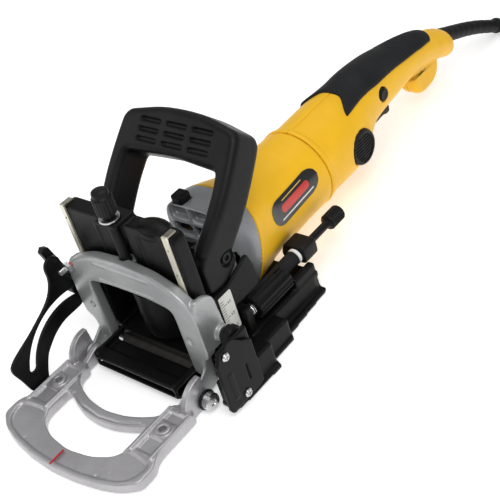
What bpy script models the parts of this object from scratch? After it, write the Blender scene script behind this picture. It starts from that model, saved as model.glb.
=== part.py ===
"""Biscuit joiner: base with D-handle, plunging motor unit, folding fence on a rising arch bracket.

Tool frame, in millimetres: +X is the operator's left, +Y runs from the front face to the rear
grip, +Z is up, Z 0 is the sole. Y 0 is the front face that meets the workpiece.
"""

import math

import bmesh
import bpy
from mathutils import Matrix, Vector

# ---- driving dimensions, mm -------------------------------------------------------------
CENTRE_X = 4.95           # tool-frame point that the model's origin sits under
CENTRE_Y = 208.44
GAP = 0.3                 # running gap between neighbours

BLADE_RADIUS = 50.0
BLADE_THICKNESS = 4.0
BLADE_Z = 10.0            # middle of the saw kerf above the sole
SPINDLE_Y = 54.0
MOTOR_Z = 46.5            # armature axis
BARREL_RADIUS = 34.0

FACE_HALF = 40.0          # half-width of the front face plate
SLOT_HALF = 38.0
SOLE_TOP = 3.5
SOLE_REAR = 137.0
DECK_LOW, DECK_HIGH = 14.0, 18.0

WALL_FRONT, WALL_REAR = 31.0, 43.0
WALL_HALF = 53.0
WALL_TOP = 125.0
CHEEK_TOP = 64.0

HANDLE_LEAN = math.radians(45)
HANDLE_ORIGIN_Y, HANDLE_ORIGIN_Z = 95.8, 140.6   # on the handle's front face, lowest slot row
HANDLE_DEPTH = 28.0

ARCH_FRONT, ARCH_REAR = 20.5, 28.9
ARCH_INNER = 40.6
FOOT_INNER = 50.75        # the feet stay outside the blade's widest reach
KNUCKLE = (45.7, 50.4)    # fence's inner hinge lug
EAR = (53.5, 58.3)        # fence's outer hinge disc
ARCH_OUTER = 61.0
SCREW_Y = 30.0            # height screw axis

HINGE_Y, HINGE_Z = 8.2, 7.6
FENCE_LOW, FENCE_HIGH = 1.0, 9.5
QUADRANT_X = -66.0        # outer face of the angle plate
QUADRANT_THICK = 2.8
LOCK_RADIUS, LOCK_ANGLE = 46.0, math.radians(66)

TURRET_X, TURRET_Z, TURRET_RADIUS = 52.5, 29.5, 9.5
STOP_X, STOP_Z = 47.5, 30.0   # depth rod axis: it meets the turret's steps, off its centre
STEP_RADIUS = math.hypot(STOP_X - TURRET_X, STOP_Z - TURRET_Z)
STEP_ANGLE = math.atan2(STOP_Z - TURRET_Z, STOP_X - TURRET_X)
STEP_DEPTH = 2.4
ARMATURE_RADIUS = 16.5
GEAR_TEETH, PINION_TEETH = 36, 12

SLEEVE_RADIUS = 6.4
CORD_RADIUS = 3.75
COIL_X, COIL_Y = 63.4, 578.0
COIL_MEAN, COIL_HALF_WIDTH, COIL_HEIGHT = 41.0, 15.2, 15.4
PLUG_X, PLUG_Y = 14.0, 662.0

# ---- finishes: colour, roughness, metallic ----------------------------------------------
BLACK = ((0.022, 0.022, 0.024), 0.45, 0.0)
RUBBER = ((0.03, 0.03, 0.032), 0.75, 0.0)
YELLOW = ((0.93, 0.55, 0.06), 0.4, 0.0)
CASTING = ((0.58, 0.57, 0.58), 0.38, 1.0)
HOUSING_GREY = ((0.42, 0.43, 0.45), 0.5, 0.6)
STEEL = ((0.6, 0.6, 0.6), 0.3, 1.0)
ZINC = ((0.74, 0.68, 0.55), 0.4, 1.0)
WHITE = ((0.85, 0.85, 0.82), 0.5, 0.0)
COPPER = ((0.6, 0.28, 0.12), 0.35, 1.0)
LAMINATION = ((0.25, 0.25, 0.27), 0.45, 1.0)
CARBON = ((0.05, 0.05, 0.05), 0.7, 0.0)

MM = 0.001

for leftover in list(bpy.data.objects):
    bpy.data.objects.remove(leftover, do_unlink=True)


def collection(name):
    made = bpy.data.collections.new(name)
    bpy.context.scene.collection.children.link(made)
    return made


PARTS = collection("biscuit_joiner")
CUTTERS = collection("cutters")


def empty(name, at, parent=None, parent_at=(0, 0, 0)):
    """A body's frame, on its joint's axis."""
    made = bpy.data.objects.new(name, None)
    made.empty_display_size = 0.01
    PARTS.objects.link(made)
    made.parent = parent
    made.location = (Vector(at) - Vector(parent_at)) * MM
    return made


TOOL = empty("tool_frame", (-CENTRE_X, -CENTRE_Y, 0))
LOCK_Y = HINGE_Y + LOCK_RADIUS * math.cos(LOCK_ANGLE)
LOCK_Z = HINGE_Z + LOCK_RADIUS * math.sin(LOCK_ANGLE)
LOCK_KNOB_Z = 45.0
BODY_AT = {
    "base": (0, 0, 0),
    "motor_unit": (0, 0, 0),
    "armature": (0, 150, MOTOR_Z),
    "spindle": (0, SPINDLE_Y, BLADE_Z),
    "arch": (0, 25, 0),
    "height_screw": (0, SCREW_Y, 120),
    "fence": (0, HINGE_Y, HINGE_Z),
    "angle_lever": (-68, LOCK_Y, LOCK_Z),
    "height_lock": (68, 37, LOCK_KNOB_Z),
    "turret": (TURRET_X, 97, TURRET_Z),
    "depth_rod": (STOP_X, 160, STOP_Z),
    "trigger": (0, 322, 33),
    "lock_on": (20, 299, 60),
    "spindle_lock": (-11, 98, 95),
}
BODY = {name: empty(name + "_frame", at, TOOL) for name, at in BODY_AT.items()}


def give_finish(obj, finish):
    colour, roughness, metallic = finish
    made = bpy.data.materials.new(obj.name + "_finish")
    made.use_nodes = True
    shader = made.node_tree.nodes["Principled BSDF"]
    shader.inputs["Base Color"].default_value = (*colour, 1)
    shader.inputs["Roughness"].default_value = roughness
    shader.inputs["Metallic"].default_value = metallic
    obj.data.materials.append(made)


def face_outward(bm):
    bmesh.ops.recalc_face_normals(bm, faces=bm.faces)
    if bm.calc_volume(signed=True) < 0:
        bmesh.ops.reverse_faces(bm, faces=bm.faces)


def add_part(name, bm, body, finish):
    """A sub-part from a bmesh drawn in tool millimetres, with its origin on its body's axis."""
    at = Vector(BODY_AT[body])
    face_outward(bm)
    bm.transform(Matrix.Scale(MM, 4) @ Matrix.Translation(-at))
    mesh = bpy.data.meshes.new(name)
    bm.to_mesh(mesh)
    bm.free()
    obj = bpy.data.objects.new(name, mesh)
    PARTS.objects.link(obj)
    obj.parent = BODY[body]
    mesh.shade_smooth()
    mesh.set_sharp_from_angle(angle=math.radians(35))
    give_finish(obj, finish)
    return obj


def add_tool(name, bm):
    """A cutter or a shape to be joined: not a sub-part itself."""
    face_outward(bm)
    bm.transform(Matrix.Scale(MM, 4))
    mesh = bpy.data.meshes.new(name)
    bm.to_mesh(mesh)
    bm.free()
    obj = bpy.data.objects.new(name, mesh)
    CUTTERS.objects.link(obj)
    obj.parent = TOOL
    obj.hide_render = True
    obj.display_type = "WIRE"
    return obj


def boolean(obj, bm, operation):
    """Cut a shape out of a part, or join it on."""
    other = add_tool(obj.name + "_" + operation.lower(), bm)
    modifier = obj.modifiers.new(operation.lower(), "BOOLEAN")
    modifier.operation = operation
    modifier.object = other
    return obj


def cut(obj, *shapes):
    for bm in shapes:
        boolean(obj, bm, "DIFFERENCE")
    return obj


def join(obj, *shapes):
    for bm in shapes:
        boolean(obj, bm, "UNION")
    return obj


def round_edges(obj, width, segments=2, angle=40):
    modifier = obj.modifiers.new("rounded", "BEVEL")
    modifier.width = width * MM
    modifier.segments = segments
    modifier.limit_method = "ANGLE"
    modifier.angle_limit = math.radians(angle)
    modifier.use_clamp_overlap = True
    return obj


# ---- shapes, drawn in tool millimetres --------------------------------------------------
def block(low, high):
    bm = bmesh.new()
    bmesh.ops.create_cube(bm, size=1)
    size = Vector(high) - Vector(low)
    middle = (Vector(high) + Vector(low)) / 2
    bm.transform(Matrix.Translation(middle) @ Matrix.Diagonal((*size, 1)))
    return bm


def rod(start, end, radius, sides=20, end_radius=None):
    start, end = Vector(start), Vector(end)
    bm = bmesh.new()
    bmesh.ops.create_cone(
        bm, cap_ends=True, segments=sides, radius1=radius,
        radius2=radius if end_radius is None else end_radius, depth=(end - start).length,
    )
    turn = Vector((0, 0, 1)).rotation_difference(end - start).to_matrix().to_4x4()
    bm.transform(Matrix.Translation((start + end) / 2) @ turn)
    return bm


def arc(x, y, radius, start, end, count):
    """Points on a circle, angles in degrees."""
    turns = [math.radians(start + (end - start) * i / (count - 1)) for i in range(count)]
    return [(x + radius * math.cos(a), y + radius * math.sin(a)) for a in turns]


PLANES = {  # where an outline's two axes and its thickness go
    "XY": Matrix(((1, 0, 0, 0), (0, 1, 0, 0), (0, 0, 1, 0), (0, 0, 0, 1))),
    "XZ": Matrix(((1, 0, 0, 0), (0, 0, -1, 0), (0, 1, 0, 0), (0, 0, 0, 1))),
    "YZ": Matrix(((0, 0, 1, 0), (1, 0, 0, 0), (0, 1, 0, 0), (0, 0, 0, 1))),
}


def extruded(outlines, low, high, plane):
    """A flat outline, with any further outlines as its holes, given thickness from low to high."""
    curve = bpy.data.curves.new("outline", "CURVE")
    curve.dimensions = "2D"
    curve.fill_mode = "BOTH"
    curve.extrude = abs(high - low) / 2
    for points in outlines:
        spline = curve.splines.new("POLY")
        spline.points.add(len(points) - 1)
        for point, (a, b) in zip(spline.points, points):
            point.co = (a, b, 0, 1)
        spline.use_cyclic_u = True
    holder = bpy.data.objects.new("outline", curve)
    CUTTERS.objects.link(holder)
    graph = bpy.context.evaluated_depsgraph_get()
    mesh = bpy.data.meshes.new_from_object(holder.evaluated_get(graph))
    bpy.data.objects.remove(holder, do_unlink=True)
    bpy.data.curves.remove(curve)
    bm = bmesh.new()
    bm.from_mesh(mesh)
    bpy.data.meshes.remove(mesh)
    bmesh.ops.remove_doubles(bm, verts=bm.verts, dist=0.0005)
    middle = (low + high) / 2
    bm.transform(PLANES[plane] @ Matrix.Translation((0, 0, -middle if plane == "XZ" else middle)))
    bmesh.ops.recalc_face_normals(bm, faces=bm.faces)
    return bm


def loft(rings):
    """A skin through rings of equal point count, capped at both ends."""
    bm = bmesh.new()
    rows = [[bm.verts.new(p) for p in ring] for ring in rings]
    count = len(rows[0])
    for one, two in zip(rows, rows[1:]):
        for i in range(count):
            j = (i + 1) % count
            bm.faces.new((one[i], one[j], two[j], two[i]))
    bm.faces.new(list(reversed(rows[0])))
    bm.faces.new(rows[-1])
    bmesh.ops.recalc_face_normals(bm, faces=bm.faces)
    return bm


def turned(name, profile, centre, direction, body, finish, steps=24):
    """A profile of (radius, height) turned about an axis through centre."""
    mesh = bpy.data.meshes.new(name)
    verts = [(r * MM, 0, h * MM) for r, h in profile]
    closed = all(r > 0 for r, h in profile)
    edges = [(i, i + 1) for i in range(len(verts) - 1)]
    if closed:
        edges.append((len(verts) - 1, 0))
    mesh.from_pydata(verts, edges, [])
    obj = bpy.data.objects.new(name, mesh)
    PARTS.objects.link(obj)
    obj.parent = BODY[body]
    obj.location = (Vector(centre) - Vector(BODY_AT[body])) * MM
    obj.rotation_mode = "QUATERNION"
    obj.rotation_quaternion = Vector((0, 0, 1)).rotation_difference(Vector(direction))
    screw = obj.modifiers.new("turned", "SCREW")
    screw.axis = "Z"
    screw.steps = screw.render_steps = steps
    screw.use_merge_vertices = True
    screw.merge_threshold = 0.00001
    screw.use_smooth_shade = True
    give_finish(obj, finish)
    return obj


def ring_profile(inner, outer, low, high):
    return [(outer, high), (outer, low), (inner, low), (inner, high)]


def smooth_path(points, spacing):
    """A smooth curve through hand-chosen points, read at even steps."""
    points = [Vector(p) for p in points]
    ends = [points[0] * 2 - points[1]] + points + [points[-1] * 2 - points[-2]]
    fine = []
    for a, b, c, d in zip(ends, ends[1:], ends[2:], ends[3:]):
        for i in range(20):
            t = i / 20
            fine.append(0.5 * (2 * b + (c - a) * t + (2 * a - 5 * b + 4 * c - d) * t * t
                               + (3 * b - 3 * c + d - a) * t ** 3))
    fine.append(points[-1])
    lengths = [0.0]
    for one, two in zip(fine, fine[1:]):
        lengths.append(lengths[-1] + (two - one).length)
    count = max(2, round(lengths[-1] / spacing))
    read, at = [], 0
    for i in range(count + 1):
        want = lengths[-1] * i / count
        while at < len(fine) - 2 and lengths[at + 1] < want:
            at += 1
        share = (want - lengths[at]) / max(lengths[at + 1] - lengths[at], 1e-9)
        read.append(fine[at].lerp(fine[at + 1], min(max(share, 0), 1)))
    return read


def tube(name, points, radius, body, finish, resolution=2, radii=None):
    """A round tube along a path, as a bevelled curve."""
    curve = bpy.data.curves.new(name, "CURVE")
    curve.dimensions = "3D"
    curve.bevel_depth = radius * MM
    curve.bevel_resolution = resolution
    curve.use_fill_caps = True
    spline = curve.splines.new("POLY")
    spline.points.add(len(points) - 1)
    for i, (target, point) in enumerate(zip(spline.points, points)):
        target.co = (*((Vector(point) - Vector(BODY_AT[body])) * MM), 1)
        target.radius = radii[i] if radii else 1
    obj = bpy.data.objects.new(name, curve)
    PARTS.objects.link(obj)
    obj.parent = BODY[body]
    give_finish(obj, finish)
    return obj


# ---- base frame ------------------------------------------------------------------------
def base_casting():
    front = extruded([[(0, 6), (0, 7.3), (2.5, 7.3), (10, SOLE_TOP), (SOLE_REAR, SOLE_TOP),
                       (SOLE_REAR, 0), (8, 0)]], -FACE_HALF, FACE_HALF, "YZ")
    base = add_part("base_casting", front, "base", BLACK)
    sole = [(39, 32), (66.6, 32), (67, 14), (80, 12), (82, 30), (82.5, 60), (75, 63), (74.6, 85),
            (69.5, 89), (66, SOLE_REAR), (-58, SOLE_REAR), (-60, 100), (-60, 32), (-39, 32),
            (-39, 40), (39, 40)]
    join(base, extruded([sole[:-2] + [(-39, 100), (39, 100)]], 0, SOLE_TOP - 0.01, "XY"))
    join(base, block((-FACE_HALF, 0, 7.2), (FACE_HALF, 2.5, 16)))
    cut(base, block((-SLOT_HALF, -1, 7.3), (SLOT_HALF, 3, 12.7)))
    join(base, block((-FACE_HALF, 0.01, 12.9), (FACE_HALF, 10, 15.99)))
    for side in (-1, 1):
        low, high = sorted((side * 37.5, side * 40.5))
        join(base, block((low, 1, 12.95), (high, 33, 17.9)))
        low, high = sorted((side * 40.4, side * (62.0 if side > 0 else 56.0)))
        join(base, block((low, 32, DECK_LOW), (high, SOLE_REAR - 0.1, DECK_HIGH)))
        low, high = sorted((side * 52.0, side * 55.9))
        join(base, block((low, 32.2, SOLE_TOP - 1), (high, SOLE_REAR - 0.2, DECK_HIGH - 1)))
    guard = [(54.8, 2.4), (54.8, 19.4), (59, 19.4)] + arc(58.6, 16, 3.4, 80, 10, 5) + [(62.4, 2.4)]
    join(base, side_guard(guard))
    join(base, block((55.5, 113.4, 12), (61.4, 136.4, 25.6)))
    join(base, block((62, 59, 2.5), (73, 86, 18.8)))
    join(base, block((-37.7, 9, 12.35), (37.7, 22.5, 13.2)))
    join(base, block((67.2, 14.4, 2.5), (79.6, 60, 22)))
    join(base, block((76.6, 14.5, 21), (79.5, 43.8, 52)))
    join(base, block((44.2, 62, DECK_HIGH - 1), (60.5, 69, 41)))
    cut(base, rod((TURRET_X, 63, TURRET_Z), (TURRET_X, 72, TURRET_Z), 2.9, 16))
    for side in (-1, 1):
        join(base, block((side * 25 - 5, 101, SOLE_TOP - 1), (side * 25 + 5, 104, 12.1)))
    return base


def side_guard(profile):
    """The rounded blade housing along the right of the base."""
    rings = []
    for y, shrink in ((64.0, 1.0), (SOLE_REAR - 6, 1.0), (SOLE_REAR - 0.3, 0.82)):
        rings.append([(54.8 + (x - 54.8) * shrink, y, 2.4 + (z - 2.4) * shrink) for x, z in profile])
    return loft(rings)


def front_wall():
    """Upright portal behind the arch: the motor's nose passes under it."""
    outline = [(-WALL_HALF, DECK_HIGH + GAP), (-42, DECK_HIGH + GAP), (-42, 62), (-38, 66), (38, 66),
               (42, 62), (42, DECK_HIGH + GAP), (WALL_HALF, DECK_HIGH + GAP), (WALL_HALF, WALL_TOP - 4),
               (WALL_HALF - 3, WALL_TOP), (-WALL_HALF + 3, WALL_TOP), (-WALL_HALF, WALL_TOP - 4)]
    wall = add_part("front_wall", extruded([outline], WALL_FRONT, WALL_REAR, "XZ"), "base", BLACK)
    for side in (-1, 1):
        low, high = sorted((side * 45.8, side * 55.0))
        join(wall, block((low, WALL_REAR - 6, DECK_HIGH + GAP), (high, 61, CHEEK_TOP)))
    fin = [(58, 44), (58, CHEEK_TOP - 1), (84, 74), (88, 58), (88, 44)]
    join(wall, extruded([fin], 52.4, 54.9, "YZ"))
    cut(wall, block((-7.7, WALL_FRONT - 1, 60), (7.7, 36.7, WALL_TOP + 1)))
    join(wall, block((-10, 24, WALL_TOP - 0.2), (10, WALL_REAR - 0.1, WALL_TOP + 2.9)))
    cut(wall, rod((0, SCREW_Y, 110), (0, SCREW_Y, 130), 4.1, 20))
    return wall


def handle_point(x, up, out):
    """A point in the D-handle's own frame: up its lean, out of its front face."""
    c, s = math.cos(HANDLE_LEAN), math.sin(HANDLE_LEAN)
    return (x, HANDLE_ORIGIN_Y + up * c - out * s, HANDLE_ORIGIN_Z + up * s + out * c)


def in_handle(bm):
    """Carry a shape drawn with X across, Y out of the front face (negated) and Z up the lean."""
    for vert in bm.verts:
        x, y, z = vert.co
        vert.co = handle_point(x, z, -y)
    return bm


def d_handle():
    outer = [(0, 26.5), (21, 25.5), (40, 21.5)] + arc(41.5, 9.5, 12, 62, 12, 4) + [
        (55, -6), (56, -27), (54.8, -46), (52.3, -67)]
    inner = [(40.2, -67), (42.3, -46), (43, -27), (42, -14)] + arc(38.2, -12.5, 3.6, 20, 85, 3) + [(0, -6.5)]
    half = outer + inner
    ring = half + [(-x, y) for x, y in reversed(half) if x > 0]
    grip = extruded([ring], 0, HANDLE_DEPTH, "XZ")
    handle = add_part("d_handle", in_handle(grip), "base", BLACK)
    round_edges(handle, 4.0, 1, 60)
    for row, (up, widths) in enumerate(((0.5, 19), (7.5, 19), (14.5, 19))):
        for column in (-1, 0, 1):
            x = column * 24.0
            slot = block((x - 9.5, -1, up - 1.7), (x + 9.5, 2.6, up + 1.7))
            cut(handle, in_handle(slot))
    for side in (-1, 1):
        lug = [(47, 66), (47, 88), (56, 96), (74, 90), (78, 74), (66, CHEEK_TOP + GAP),
               (50, CHEEK_TOP + GAP)]
        low, high = sorted((side * 45.9, side * 52.1))
        join(handle, extruded([lug], low, high, "YZ"))
        cut(handle, rod((side * 49.3, 69.5, 80), (side * 60, 69.5, 80), 6.2, 20))
    return handle


def handle_screws():
    for side, tag in ((-1, "left"), (1, "right")):
        head = rod((side * 49.6, 69.5, 80), (side * 51.6, 69.5, 80), 4.2, 18)
        screw = add_part("handle_screw_" + tag, head, "base", BLACK)
        cut(screw, rod((side * 50.6, 69.5, 80), (side * 53, 69.5, 80), 2.0, 6))


def guide_strips():
    for side, tag in ((-1, "left"), (1, "right")):
        low, high = sorted((side * 46.2, side * 50.4))
        strip = add_part("guide_strip_" + tag, block((low, 29.3, 60), (high, 30.7, 126.8)), "base", ZINC)
        join(strip, block((low + 0.01, 30, WALL_TOP + GAP), (high - 0.01, 38.5, 126.7)))


def side_cover():
    outline = [(9, 4), (7.5, 7), (8.5, 46), (13, 54)] + arc(23, 51, 6, 150, 30, 5) + [
        (33, 49), (42, 43), (42, 6), (39, 4)]
    cover = add_part("side_cover", extruded([outline], 79.9, 82.8, "YZ"), "base", BLACK)
    cut(cover, block((81.2, 30.4, 16), (84, 32, 30)))
    for tag, y, z in (("upper", 17, 49), ("lower", 25, 9.0)):
        screw = add_part("cover_screw_" + tag, rod((83.1, y, z), (84.9, y, z), 3.1, 16), "base", STEEL)
        cut(screw, block((84.1, y - 2.2, z - 0.4), (86, y + 2.2, z + 0.4)))


def turret_axle():
    low, high = (TURRET_X, 63.2, TURRET_Z), (TURRET_X, 104.2, TURRET_Z)
    return add_part("turret_axle", rod(low, high, 2.6, 16), "base", STEEL)


def turret_spring():
    turns, radius = 3.5, 4.6
    count = int(turns * 10) + 1
    points = []
    for i in range(count):
        a = 2 * math.pi * i / 10
        across, up = radius * math.cos(a), radius * math.sin(a)
        points.append((TURRET_X + across, 70.4 + 5.0 * i / (count - 1), TURRET_Z + up))
    return tube("turret_spring", points, 0.55, "base", STEEL, 1)


def base_group():
    base_casting()
    front_wall()
    d_handle()
    handle_screws()
    guide_strips()
    side_cover()
    turret_axle()
    turret_spring()


# ---- depth turret -----------------------------------------------------------------------
def depth_turret():
    """Fluted drum whose stepped rear face meets the depth rod."""
    flutes = 14
    points = []
    for i in range(flutes * 2):
        a = math.pi * i / flutes
        r = TURRET_RADIUS if i % 2 == 0 else TURRET_RADIUS - 1.3
        points.append((TURRET_X + r * math.cos(a), TURRET_Z + r * math.sin(a)))
    hole = arc(TURRET_X, TURRET_Z, 2.95, 0, 345, 24)
    drum = add_part("depth_turret", extruded([points, hole], 76.2, 112, "XZ"), "turret", BLACK)
    for step in range(1, 4):
        a = STEP_ANGLE + math.pi / 2 * step
        x, z = TURRET_X + STEP_RADIUS * math.cos(a), TURRET_Z + STEP_RADIUS * math.sin(a)
        cut(drum, rod((x, 112 - STEP_DEPTH * step, z), (x, 113, z), 3.5, 12))
    return drum


# ---- fence and arch bracket --------------------------------------------------------------
def arch_bracket():
    outer = [(0, 97), (28, 94.5), (48, 87), (57, 79), (ARCH_OUTER, 70), (ARCH_OUTER, 36), (58, 31.5),
             (53.2, 28.5), (53.2, 10)]
    inner = [(50.7, 10), (50.7, 13), (ARCH_INNER, 13), (ARCH_INNER, 66), (38, 70), (0, 73)]
    half = outer + inner
    ring = half + [(-x, y) for x, y in reversed(half) if x > 0]
    arch = add_part("arch_bracket", extruded([ring], ARCH_FRONT, ARCH_REAR, "XZ"), "arch", CASTING)
    for side in (-1, 1):
        foot = [(ARCH_REAR - 1, 3.5), (ARCH_REAR - 1, 22), (ARCH_FRONT + 1, 22)] + arc(
            HINGE_Y, HINGE_Z, 6.9, 70, 270, 9)
        low, high = sorted((side * FOOT_INNER, side * 53.1))
        join(arch, extruded([foot], low, high, "YZ"))
        low, high = sorted((side * 57.4, side * (ARCH_OUTER - 0.1)))
        flange = [(ARCH_REAR - 2, 36), (ARCH_REAR - 2, 80), (34, 79), (41, 73.5), (43.5, 42), (38, 36)]
        join(arch, extruded([flange], low, high, "YZ"))
        cut(arch, rod((side * 38, HINGE_Y, HINGE_Z), (side * 60, HINGE_Y, HINGE_Z), 3.3, 20))
        cut(arch, rod((side * 47.5, ARCH_FRONT - 1, 45), (side * 47.5, ARCH_FRONT + 2, 45), 2.6, 14))
    join(arch, block((-7, ARCH_REAR - 2, 86), (7, 36, 94)))
    cut(arch, rod((0, SCREW_Y, 60), (0, SCREW_Y, 100), 4.3, 20))
    cut(arch, rod((-56, ARCH_FRONT - 1, 78), (-56, ARCH_FRONT + 4, 78), 2.5, 14))
    join(arch, rod((ARCH_OUTER - 1, 37, LOCK_KNOB_Z), (64.5, 37, LOCK_KNOB_Z), 6, 20))
    join(arch, rod((-ARCH_OUTER + 1, LOCK_Y, LOCK_Z), (-62.2, LOCK_Y, LOCK_Z), 5, 16))
    cut(arch, rod((-59, LOCK_Y, LOCK_Z), (-63, LOCK_Y, LOCK_Z), 3.1, 16))
    return arch


def hinge_pins():
    for side, tag in ((-1, "left"), (1, "right")):
        length = 60.5 if side < 0 else 60.2
        pin = add_part("hinge_pin_" + tag, rod((side * 45.3, HINGE_Y, HINGE_Z), (side * length, HINGE_Y, HINGE_Z), 3.0, 20),
                       "arch", STEEL)
        if side > 0:
            join(pin, rod((58.8, HINGE_Y, HINGE_Z), (66, HINGE_Y, HINGE_Z), 6.4, 24))


def stop_screw():
    screw = add_part("stop_screw", rod((-56, 11.4, 78), (-56, ARCH_FRONT + 3.6, 78), 2.1, 14), "arch", STEEL)
    return join(screw, rod((-56, ARCH_FRONT - 3.6, 78), (-56, ARCH_FRONT - 0.4, 78), 4.4, 6))


def angle_lever():
    """Clamp lever on the slot of the angle plate."""
    lever = add_part("angle_lever", rod((-67.0, LOCK_Y, LOCK_Z), (-75, LOCK_Y, LOCK_Z), 6.0, 20), "angle_lever", BLACK)
    arm = [(LOCK_Y - 3.4, LOCK_Z - 2), (LOCK_Y + 3.8, LOCK_Z + 2), (LOCK_Y - 8, LOCK_Z + 42),
           (LOCK_Y - 12, LOCK_Z + 44), (LOCK_Y - 15, LOCK_Z + 41)]
    join(lever, extruded([arm], -74.5, -69.5, "YZ"))
    join(lever, rod((-60, LOCK_Y, LOCK_Z), (-68, LOCK_Y, LOCK_Z), 2.7, 16))
    return lever


def height_lock():
    knob = turned("height_lock_knob", [(0, 10), (6.5, 10), (8, 8.6), (8, 3), (5, 1.2), (5, 0), (0, 0)],
                  (64.9, 37, LOCK_KNOB_Z), (1, 0, 0), "height_lock", BLACK, 24)
    return knob


def height_screw():
    """Adjusting screw, held by the lug on the wall; its shank is in the arch's top."""
    profile = [(0, 151), (4.6, 151), (5.6, 149.8), (5.8, 146.8), (7.2, 145.6), (7.2, 134), (6, 132.8),
               (4, 132.4), (4, 130), (7, 130), (7, 128.4), (3.7, 128.4), (3.7, 70), (0, 70)]
    return turned("height_screw", profile, (0, SCREW_Y, 0), (0, 0, 1), "height_screw", BLACK, 28)


def fence():
    """Cast loop: a curved front bar, a crossbar, and arms back to the hinge."""
    front = [(0, -85.5), (22, -84), (42, -80.5), (56, -76), (63, -71)] + arc(59, -63, 9, -35, 5, 3)
    side = [(68, -53), (62.8, -46), (62.4, -34), (62.4, -8), (60.4, -5.2)]
    rear = [(41.2, -5.2), (41.6, -18)] + [(x, -32 + 14 * (x / 41.6) ** 2) for x in (30, 18, 0)]
    half = front + side + rear
    outline = half + [(-x, y) for x, y in reversed(half) if x > 0]
    crossbar = [(x, -41 + 14 * (x / 41.6) ** 2) for x in (0, 14, 27, 39)]
    front_edge = [(39, -52), (34, -59.5), (20, -66), (0, -69)]
    hole_half = crossbar + front_edge
    hole = hole_half + [(-x, y) for x, y in reversed(hole_half) if x > 0]
    casting = add_part("fence_casting", extruded([outline, hole], FENCE_LOW, FENCE_HIGH, "XY"), "fence", CASTING)
    for side_sign in (-1, 1):
        disc = arc(HINGE_Y, HINGE_Z, 19, 82, 180, 9) + [(HINGE_Y - 19, FENCE_LOW + 0.02)] + arc(
            HINGE_Y, HINGE_Z, 6.55, 270, 420, 7)
        low, high = sorted(side_sign * x for x in EAR)
        join(casting, extruded([disc], low, high, "YZ"))
        knuckle = [(-8, FENCE_LOW + 0.03), (-8, 8)] + arc(HINGE_Y, HINGE_Z, 6.55, 120, -90, 9)
        low, high = sorted(side_sign * x for x in KNUCKLE)
        join(casting, extruded([knuckle], low, high, "YZ"))
        for pair in (EAR, KNUCKLE):
            low, high = sorted(side_sign * x for x in pair)
            join(casting, block((low + 0.02, -10.9, FENCE_LOW + 0.04), (high - 0.02, 1, FENCE_HIGH - 0.5)))
        cut(casting, rod((side_sign * 38, HINGE_Y, HINGE_Z), (side_sign * 63, HINGE_Y, HINGE_Z), 3.3, 20))
        boss_x = side_sign * 52
        join(casting, rod((boss_x, -27, FENCE_HIGH - 2), (boss_x, -27, FENCE_HIGH + 2), 5.5, 18))
        cut(casting, rod((side_sign * 52, -27, -2), (side_sign * 52, -27, 14), 2.6, 14))
    return casting


def quadrant_point(radius, degrees):
    a = math.radians(degrees)
    return (HINGE_Y + radius * math.cos(a), HINGE_Z + radius * math.sin(a))


def quadrant_plate():
    """Angle plate on the fence: its slot runs round the hinge, past the arch's clamp bolt."""
    outer = [quadrant_point(r, a) for r, a in ((53, 62), (55, 76), (68, 82), (76, 80.5), (81, 84), (81, 88.5),
                                               (76, 92), (66, 92), (57, 97), (52.5, 106), (51.5, 118), (53, 130),
                                               (58, 141), (64, 150), (65, 156), (56, 166))]
    foot = [(-42, 4), (-27, 4), (-27, 10)]
    edge = ((33, 150), (31.5, 138), (31, 120), (31, 100), (31, 80), (35, 62))
    inner = [quadrant_point(r, a) for r, a in edge]
    slot_half = 3.3
    slot_start, slot_end = math.degrees(LOCK_ANGLE) - 2.5, 158.5
    count = 13
    angles = [slot_start + (slot_end - slot_start) * i / (count - 1) for i in range(count)]
    slot = [quadrant_point(LOCK_RADIUS + slot_half, a) for a in angles]
    slot += [quadrant_point(LOCK_RADIUS, slot_end + 3.8)]
    slot += [quadrant_point(LOCK_RADIUS - slot_half, a) for a in reversed(angles)]
    slot += [quadrant_point(LOCK_RADIUS, slot_start - 3.8)]
    plate = add_part("quadrant_plate", extruded([outer + foot + inner, slot], QUADRANT_X,
                                                QUADRANT_X + QUADRANT_THICK, "YZ"), "fence", BLACK)
    for i, (y, z) in enumerate(((-38, 7), (-31, 7))):
        head = add_part("quadrant_screw_%d" % (i + 1), rod((QUADRANT_X - 0.3, y, z), (QUADRANT_X - 2, y, z), 2.8, 14),
                        "fence", STEEL)
        cut(head, block((QUADRANT_X - 3, y - 2, z - 0.35), (QUADRANT_X - 1.2, y + 2, z + 0.35)))
    return plate


def front_group():
    depth_turret()
    arch_bracket()
    hinge_pins()
    stop_screw()
    angle_lever()
    height_lock()
    height_screw()
    fence()
    quadrant_plate()


# ---- motor unit --------------------------------------------------------------------------
def oval(half_width, half_height, centre_z, y, power=2.0, lean=0.0, count=28, centre_x=0.0):
    """A rounded section across the tool; lean tips its top backwards."""
    points = []
    for i in range(count):
        a = 2 * math.pi * i / count
        c, s = math.cos(a), math.sin(a)
        x = half_width * math.copysign(abs(c) ** (2 / power), c)
        z = half_height * math.copysign(abs(s) ** (2 / power), s)
        points.append((centre_x + x, y + lean * z, centre_z + z))
    return points


BOUNDARY_LEAN = 0.25
BOUNDARY_Y = 110.0
BODY_SECTIONS = (  # y, half-width, half-height, centre z, power, lean
    (BOUNDARY_Y, 41.5, 39.0, 50.5, 2.5, BOUNDARY_LEAN),
    (124.0, 38.5, 37.0, 49.0, 2.4, 0.2),
    (140.0, 35.5, 35.0, 47.5, 2.2, 0.12),
    (160.0, BARREL_RADIUS + 0.3, BARREL_RADIUS + 0.3, MOTOR_Z, 2.1, 0.04),
    (203.7, BARREL_RADIUS, BARREL_RADIUS, MOTOR_Z, 2.0, 0.0),
)


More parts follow.
